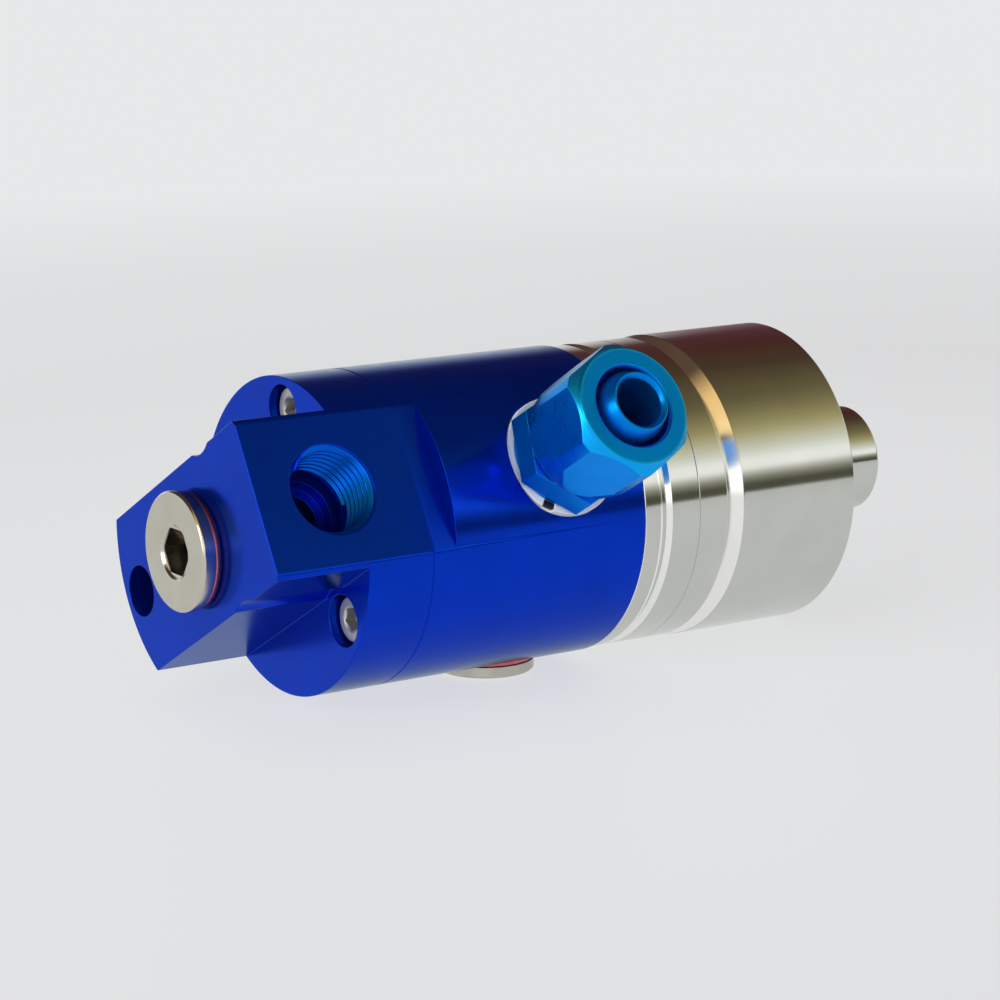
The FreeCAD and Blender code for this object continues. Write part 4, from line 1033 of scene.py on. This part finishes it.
@dataclass
class DrainFitting:
    """Light blue hose fitting on the upper drain: washer, body with nipple, and union nut."""

    washer_radius: float = 11.35
    hex_width: float = 20.7
    hex_base: float = 30.0
    hex_top: float = 35.4
    hex_turn: float = 22.0
    collar: float = 10.05
    nipple: float = 6.1
    barb: float = 6.5
    bore: float = 4.5
    nut_foot: float = 35.6
    nut_face: float = 54.2
    nut_width: float = 22.7
    nut_radius: float = 12.5
    nut_turn: float = 28.0
    tip: float = 56.7

    def washer(self) -> Mesh:
        """Turns the nylon washer and cuts the notch in its rim.

        Returns:
            The washer, made about X.
        """
        ring = lathe([(SPOT_FACE + 0.02, 8.5), (SEAT - 0.02, 8.5), (SEAT - 0.02, self.washer_radius),
                      (SPOT_FACE + 0.02, self.washer_radius)], 144)
        notch = bmesh.new()
        bmesh.ops.create_cube(notch, size=1)
        bmesh.ops.scale(notch, verts=notch.verts, vec=(1.6, 3.0, 2.3))
        bmesh.ops.translate(notch, verts=notch.verts, vec=(SPOT_FACE + 1.3, self.washer_radius, 0))
        bmesh.ops.rotate(notch, verts=notch.verts, matrix=Matrix.Rotation(math.radians(237), 3, "X"))
        return ease(carve(ring, [notch]), 0.18, 3)

    def body(self) -> Mesh:
        """Makes the threaded body with its collar, hexagon and barbed nipple.

        Returns:
            The body, made about X.
        """
        corner = self.hex_width / (2 * math.cos(math.pi / 6))
        hex_blank = lathe([(SEAT, 0), (SEAT, self.collar), (self.hex_base, self.collar),
                           (self.hex_base, corner + 0.2), (self.hex_top, corner + 0.2),
                           (self.hex_top, 0)], 144)
        bar = hexagon(self.hex_width, SEAT - 1, self.hex_top + 1, self.hex_turn)
        core = lathe([(19.5, 0), (19.5, 8.2), (SEAT + 0.5, 8.2), (SEAT + 0.5, 8.9), (44.4, 8.9),
                      (44.4, self.nipple), (50.6, self.nipple), (51.0, self.barb), (54.1, self.barb),
                      (self.tip - 1.4, 5.9), (self.tip, 5.5), (self.tip, 0)], 144)
        bore = lathe([(19, 0), (19, self.bore), (self.tip - 0.8, self.bore),
                      (self.tip + 0.05, self.bore + 0.65), (self.tip + 1, self.bore + 0.65),
                      (self.tip + 1, 0)], 144)
        hex_body = carve(carve(hex_blank, [bar], "INTERSECT"), [core], "UNION")
        return ease(carve(hex_body, [bore]), 0.12)

    def nut(self) -> Mesh:
        """Makes the union nut: a turned bar with six flats, whose corners stay round.

        Returns:
            The nut, made about X.
        """
        blank = lathe([(self.nut_foot, 9.0), (self.nut_foot, 10.6), (self.nut_foot + 1.2, 11.3),
                       (self.nut_foot + 7, self.nut_radius), (self.nut_face - 2.1, self.nut_radius),
                       (self.nut_face - 0.5, 11.05), (self.nut_face, 10.95), (self.nut_face, 7.9),
                       (self.nut_face - 0.4, 7.5), (self.nut_face - 8.5, 7.5),
                       (self.nut_face - 8.5, 9.0)], 192)
        bar = hexagon(self.nut_width, self.nut_foot - 1, self.nut_face + 1, self.nut_turn)
        return ease(carve(blank, [bar], "INTERSECT"), 0.14, 2, 20.0)

    def build(self) -> None:
        """Shows washer, body, nut and a black ring in the washer that darkens its notch as painted shade."""
        # Painted shade: a black ring hidden inside the washer, which shows only through the notch and makes
        # it dark.
        lip = lathe([(SPOT_FACE + 0.3, 8.9), (SEAT - 0.25, 8.9), (SEAT - 0.25, 10.95),
                     (SPOT_FACE + 0.3, 10.95)], 96)
        pieces = (
            (self.washer(), "drain_nylon_washer", NYLON, Slot.NYLON, ["drain_washer"]),
            (ease(lip, 0.15), "drain_notch_painted_shade", BLACK_RUBBER, Slot.BLACK_RUBBER, []),
            (self.body(), "drain_fitting_body", BLUE_DRAIN, Slot.LIGHT_BLUE, ["drain_body"]),
            (self.nut(), "drain_union_nut", BLUE_NUT, Slot.LIGHT_BLUE, ["drain_nut"]),
        )
        for mesh, name, finish, slot, nodes in pieces:
            show(stand(mesh, Axis.DRAIN, Station.DRAIN.value), name, "stator", finish, nodes)


@dataclass
class DrainPlug:
    """Screw plug on the lower drain, with its copper washer."""

    top: float = 31.0
    radius: float = 9.4
    thread: float = 6.5

    def build(self) -> None:
        """Shows plug and washer."""
        station = Station.DRAIN.value
        blank = lathe([(20.3, 0), (20.3, self.thread), (SEAT, self.thread), (SEAT, self.radius),
                       (self.top - 0.4, self.radius), (self.top, self.radius - 0.4), (self.top, 0)], 144)
        plug = ease(carve(blank, [hexagon(6.0, self.top - 5, self.top + 1, 10)]), 0.1)
        show(stand(plug, Axis.DOWN, station), "drain_screw_plug", "stator", FACED_STEEL_DOWN,
             ["drain_plug"])
        ring = lathe([(SPOT_FACE + 0.02, 6.75), (SEAT - 0.02, 6.75), (SEAT - 0.02, 9.38),
                      (SPOT_FACE + 0.02, 9.38)], 144)
        washer = stand(ease(ring, 0.45, 4), Axis.DOWN, station)
        show(washer, "drain_copper_washer", "stator", COPPER, ["drain_plug_washer"])


@dataclass
class SteelFront:
    """Steel front end of the stator: lock ring, bearing sleeve and front cover."""

    front: float = 29.2
    inner: float = 25.0
    edge: float = 0.5
    depth: float = 0.9
    seam: float = 0.08

    def build(self) -> None:
        """Shows the three rings."""
        housing, ring, sleeve, cover, gap = (s.value for s in (Station.HOUSING, Station.RING, Station.SLEEVE,
                                                                Station.COVER, Station.GAP))
        front, inner, floor = self.front, self.inner, self.front - self.depth
        lock = lathe([(housing, inner), (sleeve - 0.02, inner), (sleeve - 0.02, floor), (ring, floor),
                      (ring, front - 0.4), (ring - 0.4, front), (housing + self.edge, front),
                      (housing, front - self.edge)])
        show(ease(lock, 0.1), "lock_ring_turned", "stator", STEEL, ["lock_ring"])
        end, ring_start, ring_end, bearing = -57.5, -56.3, -53.9, 16
        head = lathe([(end, 14.6), (ring_start, 14.6), (ring_start, bearing), (cover, bearing),
                      (cover, front - self.seam), (cover - self.seam, front), (sleeve + self.depth, front),
                      (sleeve, floor), (sleeve, inner), (ring_end, inner), (ring_end, inner - 1.9),
                      (ring_start, inner - 1.9), (ring_start, inner), (end, inner)])
        show(ease(head, 0.1), "bearing_sleeve_turned", "stator", STEEL, ["bearing_sleeve"])
        register, seal_back = -40.3, -36.8
        disc = lathe([(register, 13.2), (seal_back, 13.2), (seal_back, 17.5), (gap, 17.5),
                      (gap, front - self.edge), (gap - self.edge, front), (cover + self.seam, front),
                      (cover, front - self.seam), (cover, bearing), (register, bearing)])
        show(ease(disc, 0.1), "front_cover_turned", "stator", STEEL, ["front_cover"])


@dataclass
class Rotor:
    """Turning flange with its cone, cylinder, spigot and tapped holes."""

    cone: float = 2.8
    edge: float = 0.5
    bolt_circle: float = 21.0
    spigot: float = 10.5
    spigot_end: float = 22.8

    def build(self) -> None:
        """Shows flange, threads and spigot."""
        start, face, nose = Station.CYLINDER.value, Station.CONE.value, -62.5
        bore, seat, collar, bearing = 5, 8, 12.5, 10
        blank = lathe([
            (nose, bore), (-10, bore), (-10, seat), (0, seat), (0, 13.4), (-2.1, 13.4), (-2.1, 16.0),
            (0, 16.0), (0, BODY_RADIUS - self.edge), (-self.edge, BODY_RADIUS), (start, BODY_RADIUS),
            (face, BODY_RADIUS - self.cone), (face, collar), (-40.3, collar), (-40.3, bearing),
            (-56.3, bearing), (-56.3, 9.3), (-57.5, 9.3), (-57.5, bearing), (-58.5, bearing),
            (-58.5, seat), (nose, seat),
        ])
        holes, ridges = [], []
        for angle in range(0, 360, 90):
            turn = Matrix.Rotation(math.radians(angle), 4, "X") @ Matrix.Translation((0, self.bolt_circle, 0))
            hole = lathe([(-14, 0), (-12.2, 3.0), (-0.5, 3.0), (0.02, 3.45), (1, 3.45), (1, 0)], 64)
            ridge = screw_line(3.04, 2.52, 1.0, -11.5, -0.6, 36)
            for mesh in (hole, ridge):
                bmesh.ops.transform(mesh, matrix=turn, verts=mesh.verts)
            holes.append(hole)
            ridges.append(ridge)
        flange = ease(carve(blank, holes), 0.12)
        show(flange, "rotor_turned", "rotor", STEEL, ["rotor"])
        show(join(ridges), "flange_bolt_threads", "rotor", STEEL)
        end = self.spigot_end
        stub = lathe([(-10, bore), (end, bore), (end, self.spigot - 1), (end - 1, self.spigot),
                      (0, self.spigot), (0, seat), (-10, seat)])
        show(ease(stub, 0.12), "rotor_spigot_turned", "rotor", STEEL, ["rotor_spigot"])


@dataclass
class SealSpring:
    """Compression spring of the sprung seal."""

    start: float = -90.0
    end: float = -75.05
    wire: float = 0.9
    coil: float = 10.8
    turns: float = 4.0
    travel: float = 1.0

    def build(self) -> None:
        """Winds the wire and gives the piece a mesh of its own."""
        mesh = bmesh.new()
        steps = 64
        made = bmesh.ops.create_circle(mesh, segments=16, radius=self.wire)
        bmesh.ops.translate(mesh, verts=made["verts"], vec=(self.start + self.wire, self.coil, 0))
        rise = self.end - self.start - 2 * self.wire
        first = list(mesh.edges)
        wound = bmesh.ops.spin(mesh, geom=list(mesh.verts) + first, cent=(0, 0, 0), axis=(1, 0, 0),
                               dvec=(rise / (steps * self.turns), 0, 0), angle=FULL_TURN * self.turns,
                               steps=int(steps * self.turns))
        last = [item for item in wound["geom_last"] if isinstance(item, Edge)]
        bmesh.ops.contextual_create(mesh, geom=first)
        bmesh.ops.contextual_create(mesh, geom=last)
        bmesh.ops.recalc_face_normals(mesh, faces=mesh.faces)
        piece = show(mesh, "seal_spring_wound", "stator", SPRING_WIRE, ["seal_spring"])
        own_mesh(piece)


@dataclass
class InnerPieces:
    """Seals and bearings inside, which keep their solids and get their finishes."""

    finishes: dict[str, Finish] = field(default_factory=lambda: {
        "cap_o_ring": BLACK_RUBBER, "tube_o_ring": BLACK_RUBBER, "sleeve_o_ring": BLACK_RUBBER,
        "face_o_ring": BLACK_RUBBER, "lip_seal": BROWN_RUBBER, "anti_rotation_pins": SCREW,
        "outer_spacer": BEARING, "inner_spacer": BEARING, "shaft_circlip": SPRING_WIRE,
        "rotor_seal_head": STEEL, "rotor_seal_ring": CERAMIC, "stationary_seal_ring": CERAMIC,
        "seal_carrier": STEEL,
    })

    def build(self) -> None:
        """Dresses every inner node."""
        for node, finish in self.finishes.items():
            dress(node, finish)
        for letter in "ab":
            dress(f"bearing_{letter}_cage", BRASS)
            for name in ("inner_ring", "outer_ring", "balls"):
                dress(f"bearing_{letter}_{name}", BEARING)


@dataclass
class Studio:
    """Pale floor, soft light and the photograph's camera."""

    eye: tuple[float, float, float] = (-410.3, -508.5, 130.7)
    azimuth: float = -34.312
    elevation: float = 11.883
    lens: float = 119.19
    floor_radius: float = 0.9
    rest_point: tuple[float, float] = (-57.6, -31.0)
    tilt: float = 1.49
    background: str = "#e7e8e9"

    def floor(self) -> None:
        """Lays the floor under the drain plug and the rotor's cylinder."""
        mesh = bmesh.new()
        bmesh.ops.create_circle(mesh, cap_ends=True, segments=96, radius=self.floor_radius)
        slope = Matrix.Rotation(math.radians(-self.tilt), 4, "Y")
        at = Vector((self.rest_point[0] * MM, 0, self.rest_point[1] * MM))
        bmesh.ops.transform(mesh, matrix=Matrix.Translation(at) @ slope, verts=mesh.verts)
        data = bpy.data.meshes.new("floor")
        mesh.to_mesh(data)
        mesh.free()
        made = bpy.data.objects.new("floor", data)
        bpy.context.scene.collection.objects.link(made)
        paper = bpy.data.materials.new("white_table")
        paper.use_nodes = True
        tree = paper.node_tree
        shader = next(node for node in tree.nodes if node.type == "BSDF_PRINCIPLED")
        shader.inputs["Roughness"].default_value = 0.42
        shader.inputs["Base Color"].default_value = linear("#e6e8ea")
        where = add_node(tree, "ShaderNodeTexCoord")
        away = add_node(tree, "ShaderNodeVectorMath", links={0: where.outputs["Object"]}, operation="LENGTH")
        # Painted light: camera and glossy rays see mostly a glow, so the shadow is faint and the floor's
        # reflection in metal is evenly bright; the glow is painted brighter close to the union and fades to
        # the backdrop's colour further out.
        share = spread(tree, away.outputs["Value"], 0.72, 1.0, 0.3, 0.7)
        path = add_node(tree, "ShaderNodeLightPath").outputs
        mirror = add_node(tree, "ShaderNodeMath", operation="MAXIMUM",
                          links={0: path["Is Glossy Ray"], 1: path["Is Camera Ray"]})
        plain = add_node(tree, "ShaderNodeMath", links={0: mirror.outputs[0], 1: share}, operation="MULTIPLY")
        fade = spread(tree, away.outputs["Value"], 0.0, 1.0, 0.12, 0.5)
        near = tint(tree, fade, "#f3f4f5", self.background)
        glow = add_node(tree, "ShaderNodeEmission", {"Strength": 1.0}, {"Color": near})
        mixed = add_node(tree, "ShaderNodeMixShader", links={0: plain.outputs[0], 1: shader.outputs[0],
                                                             2: glow.outputs[0]})
        output = next(node for node in tree.nodes if node.type == "OUTPUT_MATERIAL")
        tree.links.new(mixed.outputs[0], output.inputs[0])
        data.materials.append(paper)

    def world(self) -> None:
        """Surrounds the union with a pale room whose upper part is dark for reflections."""
        world = bpy.data.worlds.new("room")
        bpy.context.scene.world = world
        world.use_nodes = True
        tree = world.node_tree
        tree.nodes.clear()
        where = add_node(tree, "ShaderNodeTexCoord")
        split = add_node(tree, "ShaderNodeSeparateXYZ", links={0: where.outputs["Generated"]})
        height = add_node(tree, "ShaderNodeMapRange", {"From Min": -1.0, "From Max": 1.0},
                          {"Value": split.outputs[2]})
        front = ((0.0, "#4a4a3c"), (0.5, "#4a4a3c"), (0.53, "#4e4e42"), (0.564, "#8c8d7e"),
                 (0.592, "#cdcdc4"), (0.612, "#ffffff"), (0.65, "#fefefc"), (0.671, "#efefea"),
                 (0.695, "#dddfd2"), (0.719, "#d1d1be"), (0.742, "#c9c1a5"), (0.763, "#b9b48a"),
                 (0.783, "#aca577"), (0.802, "#a09668"), (0.848, "#7e7553"), (0.885, "#5c533a"),
                 (1.0, "#50422f"))
        left = ((0.0, "#e0e1e0"), (0.58, "#e2e2de"), (0.65, "#b0b0ac"), (0.7, "#4b3a38"), (0.75, "#46302e"),
                (0.86, "#49362b"), (1.0, "#514533"))
        right = ((0.0, "#e0e1e0"), (0.46, "#d8d8d4"), (0.5, "#6b4c56"), (0.522, "#6b4c56"),
                 (0.631, "#593540"), (0.729, "#512b2f"), (0.809, "#4b2524"), (0.865, "#49362b"),
                 (1.0, "#514533"))
        near = ((0.0, "#e0e1e0"), (0.48, "#e0e1e0"), (0.52, "#ffffff"), (0.63, "#fffdf4"), (0.7, "#e9dab0"),
                (0.78, "#dfbc7d"), (0.9, "#d6b074"), (1.0, "#8c7650"))
        sides = []
        for stops in (front, left, right, near):
            ramp = add_node(tree, "ShaderNodeValToRGB", links={0: height.outputs[0]})
            band = ramp.color_ramp
            band.elements[0].position, band.elements[0].color = stops[0][0], linear(stops[0][1])
            band.elements[1].position, band.elements[1].color = stops[-1][0], linear(stops[-1][1])
            for position, code in stops[1:-1]:
                band.elements.new(position).color = linear(code)
            sides.append(ramp.outputs[0])
        aside = spread(tree, split.outputs[0], 0.0, 1.0, 0.56, 0.6)
        behind = spread(tree, split.outputs[1], 0.0, 1.0, -0.1, 0.2)
        beside = spread(tree, split.outputs[0], 1.0, 0.0, -0.5, -0.1)
        back, across, room = (add_node(tree, "ShaderNodeMix", data_type="RGBA") for _ in range(3))
        wiring = ((back, aside, sides[1], sides[2]), (across, beside, sides[0], sides[3]),
                  (room, behind, across.outputs[2], back.outputs[2]))
        for node, *sources in wiring:
            for key, source in zip((0, 6, 7), sources):
                tree.links.new(source, node.inputs[key])
        seen = add_node(tree, "ShaderNodeBackground", {"Color": linear(self.background), "Strength": 1.0})
        soft = add_node(tree, "ShaderNodeBackground", {"Color": linear("#fbfcff"), "Strength": 0.22})
        shine = add_node(tree, "ShaderNodeBackground", {"Strength": 1.3}, {"Color": room.outputs[2]})
        path = add_node(tree, "ShaderNodeLightPath").outputs
        mirror = add_node(tree, "ShaderNodeMath", operation="MAXIMUM",
                          links={0: path["Is Glossy Ray"], 1: path["Is Transmission Ray"]})
        lit = add_node(tree, "ShaderNodeMixShader",
                       links={0: mirror.outputs[0], 1: soft.outputs[0], 2: shine.outputs[0]})
        whole = add_node(tree, "ShaderNodeMixShader",
                         links={0: path["Is Camera Ray"], 1: lit.outputs[0], 2: seen.outputs[0]})
        add_node(tree, "ShaderNodeOutputWorld", links={0: whole.outputs[0]})

    def lamp(self, name: str, at: tuple[float, float, float], size: float, power: float,
             mirrored: bool) -> None:
        """Hangs one soft lamp that looks at the union.

        Args:
            name: Name of the lamp.
            at: Its place in metres.
            size: Its width in metres.
            power: Its power in watts.
            mirrored: True where metal shows it.
        """
        data = bpy.data.lights.new(name, "AREA")
        data.shape = "DISK"
        data.size = size
        data.energy = power
        made = bpy.data.objects.new(name, data)
        made.location = at
        made.rotation_euler = (Vector(at) - Vector((-0.06, 0, 0))).to_track_quat("Z", "Y").to_euler()
        made.visible_glossy = mirrored
        bpy.context.scene.collection.objects.link(made)

    def camera(self) -> None:
        """Stands the camera where the photograph's was."""
        data = bpy.data.cameras.new("camera")
        data.lens = self.lens
        data.sensor_width = 36
        data.clip_end = 50
        made = bpy.data.objects.new("camera", data)
        made.location = [value * MM for value in self.eye]
        made.rotation_euler = (math.pi / 2 - math.radians(self.elevation), 0, math.radians(self.azimuth))
        bpy.context.scene.collection.objects.link(made)
        bpy.context.scene.camera = made

    def build(self) -> None:
        """Sets floor, room, lamps, camera and colour view."""
        self.floor()
        self.world()
        self.lamp("overhead", (-0.35, 0.1, 1.0), 0.9, 1.5, False)
        self.lamp("left_fill", (-1.1, -0.5, 0.6), 0.7, 3.5, False)
        self.lamp("left_wall", (-1.2, 0.05, 0.3), 0.5, 1.8, False)
        self.lamp("front_fill", (-0.25, -1.3, 0.12), 0.8, 5.0, False)
        self.lamp("window", (-1.25, 0.05, 0.16), 0.5, 1.5, True)
        self.lamp("front_window", (-1.15, -0.22, 0.45), 0.35, 1.2, True)
        self.camera()
        bpy.context.scene.view_settings.view_transform = "Standard"


def main() -> None:
    """Builds the union's pieces in order, from the cap to the spigot, and then the studio."""
    logging.basicConfig(level=logging.INFO, format="%(message)s")
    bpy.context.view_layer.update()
    for part in (EndCap(), InletPlug(), CapScrews(), Housing(), DrainFitting(), DrainPlug(), SteelFront(),
                 Rotor(), SealSpring(), InnerPieces(), Studio()):
        part.build()
        LOG.info("%s is done", type(part).__name__)


if __name__ == "__main__":
    main()
